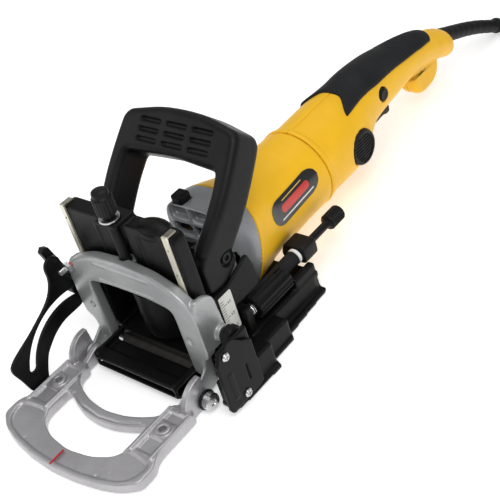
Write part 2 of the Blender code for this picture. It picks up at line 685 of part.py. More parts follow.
def gear_housing():
    """Cast gear head: a boxy body, open to the motor behind, with a nose over the spindle."""
    y0 = BOUNDARY_Y - GAP
    rings = [
        oval(24, 33, 58, 91, 6.0),
        oval(25.5, 35, 56, 94, 5.0),
        oval(33, 38, 52.5, 102, 3.4, BOUNDARY_LEAN * 0.4),
        oval(41.5, 39, 50.5, y0, 2.5, BOUNDARY_LEAN),
    ]
    housing = add_part("gear_housing", loft(rings), "motor_unit", HOUSING_GREY)
    join(housing, rod((0, SPINDLE_Y, DECK_HIGH + 4.5), (0, SPINDLE_Y, 60), 25, 32))
    join(housing, block((-21, SPINDLE_Y + 6, DECK_HIGH + 4.6), (21, 96, 59.9)))
    cut(housing, rod((0, SPINDLE_Y, DECK_HIGH), (0, SPINDLE_Y, 57.5), 10.4, 24))
    cut(housing, rod((0, SPINDLE_Y, 28), (0, SPINDLE_Y, 49), 21.5, 28))
    cut(housing, rod((0, SPINDLE_Y, MOTOR_Z), (0, 130, MOTOR_Z), 9.0, 24))
    cut(housing, rod((0, 83.7, MOTOR_Z), (0, 130, MOTOR_Z), 13.4, 24))
    cut(housing, rod((0, 96, MOTOR_Z), (0, 135, MOTOR_Z), 29.6, 32))
    for column in (-1, 1):
        for low, high in ((66, 76), (80, 91)):
            cut(housing, block((column * 10 - 8, 85, low), (column * 10 + 8, 95, high)))
    cut(housing, block((-16.5, 92.5, 85.8), (-5.5, 104, 110)))
    cut(housing, block((-60, 85, 0), (60, 115, 15.3)))
    cut(housing, block((-40, 75, 0), (40, 90.9, 22.5)))
    return housing


def spindle_lock():
    cap = block((-16.1, 92.9, 89.5), (-5.9, 103.6, 97.5))
    button = add_part("spindle_lock_button", cap, "spindle_lock", BLACK)
    return round_edges(button, 1.5, 2, 50)


def carriage():
    """Slide plate under the gear head, between the base's decks."""
    plate = add_part("carriage_plate", block((-37.1, 28.8, DECK_LOW - 0.5), (37.1, 90.6, DECK_HIGH + 0.2)),
                     "motor_unit", BLACK)
    join(plate, block((-20, 76, DECK_HIGH), (20, 90, 22.2)))
    join(plate, block((-30, 90, 12.5), (30, 136.6, 15)))
    cut(plate, rod((0, SPINDLE_Y, 10), (0, SPINDLE_Y, 20), 13.4, 28))
    for side in (-1, 1):
        join(plate, block((side * 25 - 4.9, 134, 4.4), (side * 25 + 4.9, 136.5, 13)))
    return plate


def return_springs():
    """Two springs that push the motor unit back out of the cut."""
    for side, tag in ((-1, "left"), (1, "right")):
        count = 61
        points = []
        for i in range(count):
            a = 2 * math.pi * i / 10
            x, z = side * 25 + 3.4 * math.cos(a), 8.6 + 3.4 * math.sin(a)
            points.append((x, 105 + 28.2 * i / (count - 1), z))
        tube("return_spring_" + tag, points, 0.5, "base", STEEL, 0)


def motor_casing():
    rings = [oval(w, h, z, y, p, lean) for y, w, h, z, p, lean in BODY_SECTIONS]
    casing = add_part("motor_casing", loft(rings), "motor_unit", YELLOW)
    cut(casing, rod((0, 90, MOTOR_Z), (0, 210, MOTOR_Z), 29.6, 32))
    cut(casing, block((-60, 100, 0), (60, 137, 15.3)))
    return casing


def depth_lug():
    """Lug beside the casing that carries the depth rod."""
    outline = [(36.2, 36.5), (54, 36.5), (55, 34), (55, 24.5), (53, 22.6), (34.2, 22.6), (32.5, 27.5)]
    lug = add_part("depth_lug", extruded([outline], 135, 150.5, "XZ"), "motor_unit", BLACK)
    round_edges(lug, 2.0, 2, 50)
    cut(lug, rod((STOP_X, 120, STOP_Z), (STOP_X, 160, STOP_Z), 3.5, 20))
    return lug


def depth_rod():
    profile = [(0, 189), (5.2, 189), (6.4, 187.4), (6.4, 174.8), (5.6, 173.8), (3.6, 173.2), (3.1, 172.6),
               (3.1, 130.6), (0, 130.6)]
    turned("depth_rod", profile, (STOP_X, 0, STOP_Z), (0, 1, 0), "depth_rod", BLACK, 28)
    nut = ring_profile(3.4, 6.0, 0, 3)
    turned("depth_lock_nut", nut, (STOP_X, 131.4, STOP_Z), (0, 1, 0), "depth_rod", WHITE, 24)


HANDLE_SECTIONS = (  # y, half-width, half-height, centre z
    (204.2, 33.9, 33.9, 46.5),
    (225, 32.8, 33.2, 46.5),
    (248, 32.4, 33.6, 47.0),
    (264, 29.6, 31.6, 48.8),
    (276, 25.6, 28.6, 52.6),
    (288, 23.2, 25.6, 56.8),
    (304, 22.0, 23.6, 58.2),
    (322, 21.0, 21.6, 58.0),
    (340, 19.8, 18.6, 57.0),
    (365, 17.6, 15.6, 54.6),
    (385, 16.2, 14.6, 50.0),
    (402, 15.2, 14.4, 44.0),
    (416, 13.6, 13.8, 38.0),
    (424, 9.4, 10.4, 34.0),
)
SHELL_WALL = 2.6


def half_ring(side, y, width, height, centre, count=11):
    """A C-shaped section: round the outside from top to bottom, back round the inside."""
    start = 0.12
    outer, inner = [], []
    for i in range(count):
        a = math.pi / 2 - math.pi * i / (count - 1)
        c, s = max(math.cos(a), 0), math.sin(a)
        outer.append((side * (start + (width - start) * c), y, centre + height * s))
        inner.append((side * (start + (width - SHELL_WALL - start) * c), y, centre + (height - SHELL_WALL) * s))
    return outer + list(reversed(inner))


def handle_shell(side, tag):
    rings = [half_ring(side, *section) for section in HANDLE_SECTIONS]
    shell = add_part("handle_shell_" + tag, loft(rings), "motor_unit", YELLOW)
    lobe_outline = arc(382, 32, 17.5, 20, -70, 5) + arc(374, 30, 15.5, -90, -180, 5) + [(358.5, 44), (398.5, 46)]
    low, high = sorted((side * 0.12, side * 8.5))
    join(shell, extruded([lobe_outline], low, high, "YZ"))
    low, high = sorted((side * -1.0, side * 6.8))
    cut(shell, block((low, 284, 26), (high, 324, 44)))
    cut(shell, rod((side * 27, 251, 43), (side * 45, 251, 43), 14.6, 24))
    cut(shell, rod((0, 404, 48.2), (0, 440, 34.9), 7.6, 20))
    if side > 0:
        cut(shell, rod((12, 299, 60), (30, 299, 60), 5.9, 20))
    return shell


def vent_discs():
    for side, tag in ((-1, "left"), (1, "right")):
        disc = turned("vent_disc_" + tag, [(0, 4.6), (12.5, 4.6), (14.3, 3.6), (14.3, 0), (0, 0)],
                      (side * 27.4, 251, 43), (side, 0, 0), "motor_unit", BLACK, 24)
        for step in (-7, -3.5, 0, 3.5, 7):
            reach = math.sqrt(11.5 ** 2 - step ** 2)
            x, y = side * 34.5, 251 + step
            cut(disc, block((x - 4, y - 0.9, 43 - reach), (x + 4, y + 0.9, 43 + reach)))


def grip_pad():
    """Rubber saddle moulded over the top of the rear grip."""
    inner_gap, thick = 0.35, 1.9
    rings = []
    for y, width, height, centre in HANDLE_SECTIONS[3:12]:
        outer, inner = [], []
        for i in range(13):
            a = math.radians(32 + 116 * i / 12)
            c, s = math.cos(a), math.sin(a)
            outer.append(((width + inner_gap + thick) * c, y, centre + (height + inner_gap + thick) * s))
            inner.append(((width + inner_gap) * c, y, centre + (height + inner_gap) * s))
        rings.append(outer + list(reversed(inner)))
    return add_part("grip_pad", loft(rings), "motor_unit", RUBBER)


def trigger():
    """Paddle switch lever, hinged at its rear end."""
    outline = [(285.2, 32.8), (284.4, 28.4), (287, 25.8), (302, 27.4), (314, 28.2), (319, 26.0), (323.2, 27.4),
               (323.4, 34.4), (318, 36.5), (300, 37.2)]
    paddle = add_part("trigger", extruded([outline], -6.2, 6.2, "YZ"), "trigger", BLACK)
    return round_edges(paddle, 1.0, 1, 50)


def lock_on_button():
    return turned("lock_on_button", [(0, 0.9), (4.2, 0.9), (5.5, -0.2), (5.5, -8), (0, -8)], (22.4, 299, 60),
                  (1, 0, 0), "lock_on", BLACK, 20)


def stator():
    profile = [(29.3, 22), (29.3, -22), (27, -22), (25, -31), (20, -31), (17.8, -22), (17.8, 22), (20, 31),
               (25, 31), (27, 22)]
    turned("stator", profile, (0, 155, MOTOR_Z), (0, 1, 0), "motor_unit", LAMINATION, 28)


def armature():
    add_part("motor_shaft", rod((0, 69, MOTOR_Z), (0, 216, MOTOR_Z), 4.0, 20), "armature", STEEL)
    core = ring_profile(4.3, ARMATURE_RADIUS, -20, 20)
    turned("armature_core", core, (0, 155, MOTOR_Z), (0, 1, 0), "armature", LAMINATION, 28)
    turned("commutator", ring_profile(4.3, 9.5, -7, 7), (0, 196, MOTOR_Z), (0, 1, 0), "armature", COPPER, 24)
    fan = turned("cooling_fan", ring_profile(4.3, 28, -1, 1), (0, 118, MOTOR_Z), (0, 1, 0), "armature", BLACK, 28)
    blades = 8
    for i in range(blades):
        a = 2 * math.pi * i / blades
        vane = block((-0.8, 112.5, 10), (0.8, 117.5, 27))
        vane.transform(Matrix.Translation((0, 0, MOTOR_Z)) @ Matrix.Rotation(a, 4, "Y"))
        join(fan, vane)


def toothed_cone(large, small, large_at, small_at, teeth, height, phase):
    """A bevel gear's cone with trapezoid teeth, turned about Z; heights give each end."""
    rings = []
    for radius, z in ((large, large_at), (small, small_at)):
        scale = radius / large
        ring = []
        for i in range(teeth):
            for offset, lift in ((-0.25, 0.0), (-0.12, height), (0.12, height), (0.25, 0.0)):
                a = 2 * math.pi * (i + phase + offset) / teeth
                r = radius + lift * scale
                ring.append((r * math.cos(a), r * math.sin(a), z))
        rings.append(ring)
    return loft(rings)


def bevel_pinion():
    bm = toothed_cone(6.0, 6.0 * 15.5 / 19.5, 0, -4, PINION_TEETH, 0.9, 0.0)
    bm.transform(Matrix.Translation((0, SPINDLE_Y + 19.5, MOTOR_Z)) @ Matrix.Rotation(math.radians(-90), 4, "X"))
    pinion = add_part("bevel_pinion", bm, "armature", STEEL)
    cut(pinion, rod((0, 60, MOTOR_Z), (0, 90, MOTOR_Z), 4.25, 20))
    return pinion


def spindle_group():
    profile = [(0, 57), (5, 57), (5, 17.6), (12.8, 17.6), (12.8, 12.4), (5, 12.4), (5, 4.3), (0, 4.3)]
    turned("spindle", profile, (0, SPINDLE_Y, 0), (0, 0, 1), "spindle", STEEL, 24)
    slope = 0.374             # the crown's cone rises towards its axis
    profile = [(19.8, 39.1), (19.8, 36.5), (17, 33), (5.3, 33), (5.3, 38), (13.8, 38), (15.2, 40.82)]
    gear = turned("bevel_gear", profile, (0, SPINDLE_Y, 0), (0, 0, 1), "spindle", STEEL, 28)
    for i in range(GEAR_TEETH):
        a = 2 * math.pi * (i + 0.5) / GEAR_TEETH
        tooth = block((15.5, -0.5, 38.2), (19.5, 0.5, 40.1))
        for vert in tooth.verts:
            vert.co.z += slope * (19.5 - vert.co.x)
        tooth.transform(Matrix.Translation((0, SPINDLE_Y, 0)) @ Matrix.Rotation(a, 4, "Z"))
        join(gear, tooth)
    turned("clamp_nut", ring_profile(5.3, 11.5, 4.4, 7.7), (0, SPINDLE_Y, 0), (0, 0, 1), "spindle", STEEL, 24)
    saw_blade()


def saw_blade():
    """Grooving blade: slotted disc with six carbide-tipped teeth."""
    teeth = 6
    outline = []
    for i in range(teeth):
        base = 360 / teeth * i
        outline += arc(0, SPINDLE_Y, BLADE_RADIUS - 4, base + 14, base + 50, 5)
        outline += arc(0, SPINDLE_Y, BLADE_RADIUS, base + 52, base + 60, 3)
        outline += arc(0, SPINDLE_Y, BLADE_RADIUS - 10, base + 61, base + 66, 2)
    hole = arc(0, SPINDLE_Y, 5.3, 0, 342, 20)
    low, high = BLADE_Z - BLADE_THICKNESS / 2, BLADE_Z + BLADE_THICKNESS / 2
    return add_part("saw_blade", extruded([outline, hole], low, high, "XY"), "spindle", STEEL)


def bearings():
    upright, along = (0, 0, 1), (0, 1, 0)
    for name, ring, centre, direction in (
            ("spindle_top_bearing", (5.3, 10.1, 50.3, 57.2), (0, SPINDLE_Y, 0), upright),
            ("spindle_low_bearing", (5.3, 10.1, 19.2, 26.8), (0, SPINDLE_Y, 0), upright),
            ("front_bearing", (4.3, 13.1, -4.5, 4.5), (0, 90, MOTOR_Z), along),
            ("rear_bearing", (4.3, 11, -4, 4), (0, 210, MOTOR_Z), along)):
        turned(name, ring_profile(*ring), centre, direction, "motor_unit", STEEL, 24)


def brushes():
    for side, tag in ((-1, "left"), (1, "right")):
        low, high = sorted((side * 9.9, side * 24.0))
        brush = block((low, 193, MOTOR_Z - 4), (high, 199, MOTOR_Z + 4))
        add_part("carbon_brush_" + tag, brush, "motor_unit", CARBON)


def motor_group():
    gear_housing()
    spindle_lock()
    carriage()
    return_springs()
    motor_casing()
    depth_lug()
    depth_rod()
    handle_shell(-1, "left")
    handle_shell(1, "right")
    vent_discs()
    grip_pad()
    trigger()
    lock_on_button()
    stator()
    armature()
    bevel_pinion()
    spindle_group()
    bearings()
    brushes()


# ---- cord ----------------------------------------------------------------------------------
SLEEVE_ROUTE = [(0, 411, 45.6), (0.2, 424, 40.8), (0.6, 440, 34.9), (1.4, 456, 29), (3.4, 474, 21.6),
                (6.2, 490, 13.9), (7.6, 499.4, 9.8)]
CORD_ROUTE = [(7.7, 500, 9.6), (9.2, 509, 7.0), (10.4, 520, 5.0), (11, 532, 4.0), (11, 545, 3.9)]


def strain_relief():
    points = smooth_path(SLEEVE_ROUTE, 9)
    radii = [1.06 - 0.2 * i / (len(points) - 1) for i in range(len(points))]
    radii[-1] = radii[-2] = 1.12
    return tube("strain_relief", points, SLEEVE_RADIUS, "motor_unit", RUBBER, 3, radii)


def cord():
    tube("cord", smooth_path(CORD_ROUTE, 14), CORD_RADIUS, "motor_unit", RUBBER, 2)
    outer, inner = COIL_MEAN + COIL_HALF_WIDTH, COIL_MEAN - COIL_HALF_WIDTH
    profile = [(outer - 3, COIL_HEIGHT), (outer, COIL_HEIGHT - 4), (outer, 4), (outer - 3, 0.1),
               (inner + 3, 0.1), (inner, 4), (inner, COIL_HEIGHT - 4), (inner + 3, COIL_HEIGHT)]
    turned("cord_coil", profile, (COIL_X, COIL_Y, 0), (0, 0, 1), "motor_unit", RUBBER, 40)


def mains_plug():
    """Three-pin plug lying on its back beside the coil."""
    shape = block((PLUG_X - 25, PLUG_Y - 24, 0.1), (PLUG_X + 25, PLUG_Y + 26, 20))
    body = add_part("mains_plug", shape, "motor_unit", BLACK)
    round_edges(body, 4, 2, 50)
    join(body, block((PLUG_X - 2, PLUG_Y - 14, 19), (PLUG_X + 2, PLUG_Y - 6, 42)))
    return body


base_group()
front_group()
motor_group()
strain_relief()
cord()
mains_plug()
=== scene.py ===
import math

import bmesh
import bpy
from mathutils import Matrix, Vector


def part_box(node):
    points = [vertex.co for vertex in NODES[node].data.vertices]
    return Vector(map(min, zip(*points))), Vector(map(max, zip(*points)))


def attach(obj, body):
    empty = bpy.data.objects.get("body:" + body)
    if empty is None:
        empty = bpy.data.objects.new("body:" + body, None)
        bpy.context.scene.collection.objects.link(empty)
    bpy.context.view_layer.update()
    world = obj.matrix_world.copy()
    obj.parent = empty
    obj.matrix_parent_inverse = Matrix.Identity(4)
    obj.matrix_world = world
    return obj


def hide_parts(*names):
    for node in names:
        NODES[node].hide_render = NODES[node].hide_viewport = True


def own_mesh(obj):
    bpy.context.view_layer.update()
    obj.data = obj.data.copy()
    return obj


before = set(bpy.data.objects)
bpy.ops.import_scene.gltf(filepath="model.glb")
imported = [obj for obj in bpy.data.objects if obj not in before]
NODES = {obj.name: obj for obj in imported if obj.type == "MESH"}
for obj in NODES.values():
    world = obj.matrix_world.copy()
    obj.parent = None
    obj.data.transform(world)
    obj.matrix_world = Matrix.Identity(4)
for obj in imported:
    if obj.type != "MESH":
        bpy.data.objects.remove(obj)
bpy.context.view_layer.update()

MM = 0.001
SPINDLE_LOW, SPINDLE_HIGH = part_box("spindle")
# The saw spindle stands on the tool's middle line, behind its front face.
SPINDLE_Y = 54
ORIGIN = Vector(((SPINDLE_LOW.x + SPINDLE_HIGH.x) / 2, (SPINDLE_LOW.y + SPINDLE_HIGH.y) / 2 - SPINDLE_Y * MM,
                 0))


def at(point):
    """A point in tool millimetres, carried to the model's metres."""
    return ORIGIN + Vector(point) * MM


# ---- camera ------------------------------------------------------------------------------
camera_data = bpy.data.cameras.new("camera")
camera_data.lens = 77.76
camera_data.sensor_width = 36
camera_data.clip_start = 0.05
camera = bpy.data.objects.new("camera", camera_data)
bpy.context.scene.collection.objects.link(camera)
RIGHT = Vector((0.7567, 0.6068, -0.2428)).normalized()
BACK = Vector((0.6102, -0.5226, 0.5956)).normalized()
UP = BACK.cross(RIGHT).normalized()
RIGHT = UP.cross(BACK)
turn = Matrix((RIGHT, UP, BACK)).transposed().to_4x4()
camera.matrix_world = Matrix.Translation(at((495.6, -289.6, 503.6))) @ turn
bpy.context.scene.camera = camera


# ---- materials ---------------------------------------------------------------------------
def finish(name, colour, rough, metallic=0.0, grain=700, bump=0.15, vary=0.12, patch=45, stretch=(1, 1, 1),
           rough_vary=0.1, coat=0.0, wear=0.0, specular=0.5):
    """A procedural surface: fine grain, broad colour and gloss changes, and bare edges where worn."""
    made = bpy.data.materials.new(name)
    made.use_nodes = True
    tree = made.node_tree
    shader = tree.nodes["Principled BSDF"]
    shader.inputs["Metallic"].default_value = metallic
    shader.inputs["Coat Weight"].default_value = coat
    shader.inputs["Specular IOR Level"].default_value = specular
    shader.inputs["Coat Roughness"].default_value = 0.15
    place = tree.nodes.new("ShaderNodeTexCoord")
    scale = tree.nodes.new("ShaderNodeMapping")
    scale.inputs["Scale"].default_value = stretch
    tree.links.new(place.outputs["Object"], scale.inputs["Vector"])

    def noise(size, detail):
        node = tree.nodes.new("ShaderNodeTexNoise")
        node.inputs["Scale"].default_value = size
        node.inputs["Detail"].default_value = detail
        tree.links.new(scale.outputs["Vector"], node.inputs["Vector"])
        return node.outputs["Fac"]

    broad = noise(patch, 5)
    fine = noise(grain, 3)
    ramp = tree.nodes.new("ShaderNodeValToRGB")
    ramp.color_ramp.elements[0].position = 0.3
    ramp.color_ramp.elements[1].position = 0.7
    ramp.color_ramp.elements[0].color = (*[c * (1 - vary) for c in colour], 1)
    ramp.color_ramp.elements[1].color = (*[min(1, c * (1 + vary)) for c in colour], 1)
    tree.links.new(broad, ramp.inputs["Fac"])
    tone = ramp.outputs["Color"]
    if wear:
        edge = tree.nodes.new("ShaderNodeNewGeometry")
        worn = tree.nodes.new("ShaderNodeValToRGB")
        worn.color_ramp.elements[0].position = 0.53
        worn.color_ramp.elements[1].position = 0.62
        tree.links.new(edge.outputs["Pointiness"], worn.inputs["Fac"])
        mix = tree.nodes.new("ShaderNodeMix")
        mix.data_type = "RGBA"
        tree.links.new(worn.outputs["Color"], mix.inputs[0])
        tree.links.new(tone, mix.inputs[6])
        mix.inputs[7].default_value = (*[c + (0.9 - c) * wear for c in colour], 1)
        tone = mix.outputs[2]
    tree.links.new(tone, shader.inputs["Base Color"])
    gloss = tree.nodes.new("ShaderNodeMapRange")
    gloss.inputs["To Min"].default_value = max(0.02, rough - rough_vary)
    gloss.inputs["To Max"].default_value = min(1, rough + rough_vary)
    tree.links.new(fine, gloss.inputs["Value"])
    tree.links.new(gloss.outputs["Result"], shader.inputs["Roughness"])
    relief = tree.nodes.new("ShaderNodeBump")
    relief.inputs["Strength"].default_value = bump
    relief.inputs["Distance"].default_value = 0.0004
    tree.links.new(fine, relief.inputs["Height"])
    tree.links.new(relief.outputs["Normal"], shader.inputs["Normal"])
    return made


YELLOW = finish("yellow_shell", (0.93, 0.52, 0.016), 0.4, grain=1500, bump=0.06, vary=0.035, specular=0.3)
BLACK = finish("black_nylon", (0.009, 0.0092, 0.0098), 0.4, grain=1300, bump=0.3, vary=0.25, specular=0.16)
DEEP_BLACK = finish("black_casting", (0.005, 0.0051, 0.0049), 0.36, grain=900, bump=0.35, vary=0.25,
                    specular=0.14)
RUBBER = finish("grip_rubber", (0.016, 0.0165, 0.018), 0.6, grain=2200, bump=0.45, vary=0.2, specular=0.16)
CASTING = finish("die_casting", (0.46, 0.45, 0.465), 0.38, 0.6, grain=420, bump=0.5, vary=0.09, wear=0.5)
ARCH_METAL = finish("bracket_casting", (0.41, 0.425, 0.425), 0.38, 0.55, grain=520, bump=0.4, vary=0.09,
                    wear=0.4)
GEAR_GREY = finish("gear_head_paint", (0.35, 0.365, 0.38), 0.4, 0.4, grain=800, bump=0.3, vary=0.07)
STEEL = finish("turned_steel", (0.62, 0.62, 0.63), 0.26, 1.0, grain=900, bump=0.08, vary=0.08,
               stretch=(1, 1, 6))
SPRING = finish("spring_steel", (0.55, 0.56, 0.58), 0.22, 1.0, grain=1200, bump=0.06)
# Saw blade steel darkened far below bare steel: painted shade, standing in for the shadow the blade sits in.
SHADED_BLADE = finish("blade_steel_painted_shade", (0.24, 0.23, 0.22), 0.32, 0.9, grain=500, bump=0.1, stretch=(8, 1, 1))
ZINC = finish("zinc_strip", (0.78, 0.74, 0.62), 0.36, 0.75, grain=700, bump=0.1, vary=0.1)
PLATE_WHITE = finish("scale_white", (0.72, 0.72, 0.67), 0.45, grain=500, bump=0.12, vary=0.08)
WHITE = finish("white_nylon", (0.86, 0.86, 0.84), 0.42, grain=900, bump=0.08, vary=0.03)
RED = finish("red_paint", (0.5, 0.02, 0.03), 0.42, grain=900, bump=0.1, vary=0.1)
COPPER = finish("copper", (0.62, 0.28, 0.12), 0.3, 1.0, grain=900, stretch=(1, 12, 1))
LAMINATION = finish("lamination", (0.22, 0.22, 0.24), 0.45, 1.0, grain=600, bump=0.3, stretch=(1, 25, 1))
CARBON = finish("carbon", (0.03, 0.03, 0.03), 0.6, grain=1600, bump=0.2)
CORD_SKIN = finish("cord_rubber", (0.009, 0.009, 0.0098), 0.5, grain=2600, bump=0.3, vary=0.2, specular=0.16)
LABEL_BLACK = finish("label_black", (0.01, 0.01, 0.011), 0.22, grain=900, bump=0.03, coat=0.5)
LABEL_RED = finish("label_red", (0.6, 0.03, 0.02), 0.3, grain=900, bump=0.03, coat=0.5)
LABEL_GOLD = finish("label_gold", (0.75, 0.5, 0.12), 0.3, grain=900, bump=0.03, coat=0.5)
LABEL_WHITE = finish("label_white", (0.8, 0.8, 0.78), 0.3, grain=900, bump=0.03, coat=0.5)


# ---- shapes, drawn in tool millimetres ---------------------------------------------------
def block(low, high):
    bm = bmesh.new()
    bmesh.ops.create_cube(bm, size=1)
    size = Vector(high) - Vector(low)
    bm.transform(Matrix.Translation((Vector(high) + Vector(low)) / 2) @ Matrix.Diagonal((*size, 1)))
    return bm


def rod(start, end, radius, sides=40, end_radius=None):
    start, end = Vector(start), Vector(end)
    bm = bmesh.new()
    bmesh.ops.create_cone(bm, cap_ends=True, segments=sides, radius1=radius,
                          radius2=radius if end_radius is None else end_radius, depth=(end - start).length)
    tilt = Vector((0, 0, 1)).rotation_difference(end - start).to_matrix().to_4x4()
    bm.transform(Matrix.Translation((start + end) / 2) @ tilt)
    return bm


def ball(centre, radii):
    bm = bmesh.new()
    bmesh.ops.create_icosphere(bm, subdivisions=4, radius=1)
    bm.transform(Matrix.Translation(centre) @ Matrix.Diagonal((*radii, 1)))
    return bm


def arc(x, y, radius, start, end, count):
    turns = [math.radians(start + (end - start) * i / (count - 1)) for i in range(count)]
    return [(x + radius * math.cos(a), y + radius * math.sin(a)) for a in turns]


def filleted(points, reach=2.0, steps=5):
    """An outline with each corner rounded off, by up to half of its shorter side."""
    made = []
    for before, here, after in zip(points[-1:] + points[:-1], points, points[1:] + points[:1]):
        before, here, after = Vector(before), Vector(here), Vector(after)
        back, on = before - here, after - here
        if min(back.length, on.length) < 1e-6:
            continue
        start = here + back.normalized() * min(reach, back.length / 2)
        end = here + on.normalized() * min(reach, on.length / 2)
        for i in range(steps + 1):
            t = i / steps
            made.append(tuple(start * (1 - t) ** 2 + here * 2 * t * (1 - t) + end * t * t))
    return made


PLANES = {
    "XY": Matrix.Identity(4),
    "XZ": Matrix(((1, 0, 0, 0), (0, 0, -1, 0), (0, 1, 0, 0), (0, 0, 0, 1))),
    "YZ": Matrix(((0, 0, 1, 0), (1, 0, 0, 0), (0, 1, 0, 0), (0, 0, 0, 1))),
}


def extruded(outlines, low, high, plane, rounding=0.0):
    """A flat outline with any further ones as holes, given thickness and rounded rims."""
    curve = bpy.data.curves.new("outline", "CURVE")
    curve.dimensions = "2D"
    curve.fill_mode = "BOTH"
    curve.extrude = abs(high - low) / 2 - rounding
    curve.bevel_depth = rounding
    curve.bevel_resolution = 3
    curve.offset = -rounding
    for points in outlines:
        spline = curve.splines.new("POLY")
        spline.points.add(len(points) - 1)
        for point, (a, b) in zip(spline.points, points):
            point.co = (a, b, 0, 1)
        spline.use_cyclic_u = True
    holder = bpy.data.objects.new("outline", curve)
    bpy.context.scene.collection.objects.link(holder)
    mesh = bpy.data.meshes.new_from_object(holder.evaluated_get(bpy.context.evaluated_depsgraph_get()))
    bpy.data.objects.remove(holder, do_unlink=True)
    bpy.data.curves.remove(curve)
    bm = bmesh.new()
    bm.from_mesh(mesh)
    bpy.data.meshes.remove(mesh)
    bmesh.ops.remove_doubles(bm, verts=bm.verts, dist=0.0005)
    middle = (low + high) / 2
    bm.transform(PLANES[plane] @ Matrix.Translation((0, 0, -middle if plane == "XZ" else middle)))
    return bm


def loft(rings):
    bm = bmesh.new()
    rows = [[bm.verts.new(p) for p in ring] for ring in rings]
    count = len(rows[0])
    for one, two in zip(rows, rows[1:]):
        for i in range(count):
            j = (i + 1) % count
            bm.faces.new((one[i], one[j], two[j], two[i]))
    bm.faces.new(list(reversed(rows[0])))
    bm.faces.new(rows[-1])
    return bm


def turned(profile, centre, direction, steps=64, knurl=None):
    """A profile of (radius, height) turned round an axis; knurl is (low, high, count, depth)."""
    bm = bmesh.new()
    rows = []
    for radius, height in profile:
        ring = []
        for i in range(steps):
            a = 2 * math.pi * i / steps
            r = radius
            if knurl and knurl[0] <= height <= knurl[1]:
                r -= knurl[3] * (0.5 + 0.5 * math.cos(a * knurl[2]))
            ring.append(bm.verts.new((r * math.cos(a), r * math.sin(a), height)))
        rows.append(ring)
    closed = all(r > 0 for r, h in profile)
    for one, two in zip(rows, rows[1:] + (rows[:1] if closed else [])):
        for i in range(steps):
            j = (i + 1) % steps
            bm.faces.new((one[i], one[j], two[j], two[i]))
    bmesh.ops.remove_doubles(bm, verts=bm.verts, dist=0.0005)
    tilt = Vector((0, 0, 1)).rotation_difference(Vector(direction)).to_matrix().to_4x4()
    bm.transform(Matrix.Translation(centre) @ tilt)
    return bm


def smooth_rows(rows, steps):
    """Rows of numbers, with smooth rows made between them."""
    rows = [tuple(float(v) for v in row) for row in rows]
    ends = [tuple(2 * a - b for a, b in zip(rows[0], rows[1]))] + rows
    ends += [tuple(2 * a - b for a, b in zip(rows[-1], rows[-2]))]
    made = []
    for a, b, c, d in zip(ends, ends[1:], ends[2:], ends[3:]):
        for i in range(steps):
            t = i / steps
            made.append(tuple(0.5 * (2 * q + (r - p) * t + (2 * p - 5 * q + 4 * r - s) * t * t
                                     + (3 * q - 3 * r + s - p) * t ** 3) for p, q, r, s in zip(a, b, c, d)))
    return made + [rows[-1]]


def swept(points, radii, sides=24):
    """A round tube along a path of points in tool millimetres, with a radius at each point."""
    points = [Vector(p) for p in points]
    rings = []
    side = None
    for i, point in enumerate(points):
        ahead = (points[min(i + 1, len(points) - 1)] - points[max(i - 1, 0)]).normalized()
        if side is None:
            side = ahead.orthogonal().normalized()
        side = (side - ahead * side.dot(ahead)).normalized()
        other = ahead.cross(side)
        ring = []
        for k in range(sides):
            a = 2 * math.pi * k / sides
            ring.append(point + (side * math.cos(a) + other * math.sin(a)) * radii[i])
        rings.append(ring)
    return loft(rings)


def node_shape(name):
    """A copy of a CAD node's mesh, back in tool millimetres."""
    bm = bmesh.new()
    bm.from_mesh(NODES[name].data)
    bmesh.ops.remove_doubles(bm, verts=bm.verts, dist=1e-6)
    bm.transform(Matrix.Scale(1 / MM, 4) @ Matrix.Translation(-ORIGIN))
    return bm


def object_of(name, shapes):
    """One object from several shapes, in the model's metres."""
    whole = bpy.data.meshes.new(name)
    total = bmesh.new()
    for bm in shapes:
        bmesh.ops.recalc_face_normals(bm, faces=bm.faces)
        if bm.calc_volume(signed=True) < 0:
            bmesh.ops.reverse_faces(bm, faces=bm.faces)
        part = bpy.data.meshes.new("part")
        bm.to_mesh(part)
        bm.free()
        total.from_mesh(part)
        bpy.data.meshes.remove(part)
    total.transform(Matrix.Translation(ORIGIN) @ Matrix.Scale(MM, 4))
    total.to_mesh(whole)
    total.free()
    obj = bpy.data.objects.new(name, whole)
    bpy.context.scene.collection.objects.link(obj)
    return obj


def applied(obj):
    """The modifiers made part of the mesh."""
    graph = bpy.context.evaluated_depsgraph_get()
    mesh = bpy.data.meshes.new_from_object(obj.evaluated_get(graph))
    obj.modifiers.clear()
    old = obj.data
    obj.data = mesh
    bpy.data.meshes.remove(old)
    return obj


def piece(name, shapes, body, look, replaces=(), cuts=(), voxel=0.0, smooth=3, angle=35):
    """A finished piece: shapes fused, cuts taken out, skin remeshed and its edges eased."""
    obj = object_of(name, shapes)
    if cuts:
        cutter = object_of(name + "_cut", cuts)
        carve = obj.modifiers.new("carve", "BOOLEAN")
        carve.operation = "DIFFERENCE"
        carve.object = cutter
        carve.solver = "EXACT"
        carve.use_self = True
        applied(obj)
        bpy.data.objects.remove(cutter, do_unlink=True)
    if voxel:
        skin = obj.modifiers.new("skin", "REMESH")
        skin.mode = "VOXEL"
        skin.voxel_size = voxel * MM
        skin.adaptivity = 0
        if smooth:
            ease = obj.modifiers.new("ease", "SMOOTH")
            ease.factor = 0.5
            ease.iterations = smooth
        applied(obj)
    obj.data.materials.clear()
    obj.data.materials.append(look)
    obj.data.shade_smooth()
    if not voxel:
        obj.data.set_sharp_from_angle(angle=math.radians(angle))
    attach(obj, body)
    if replaces:
        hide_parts(*replaces)
    return obj


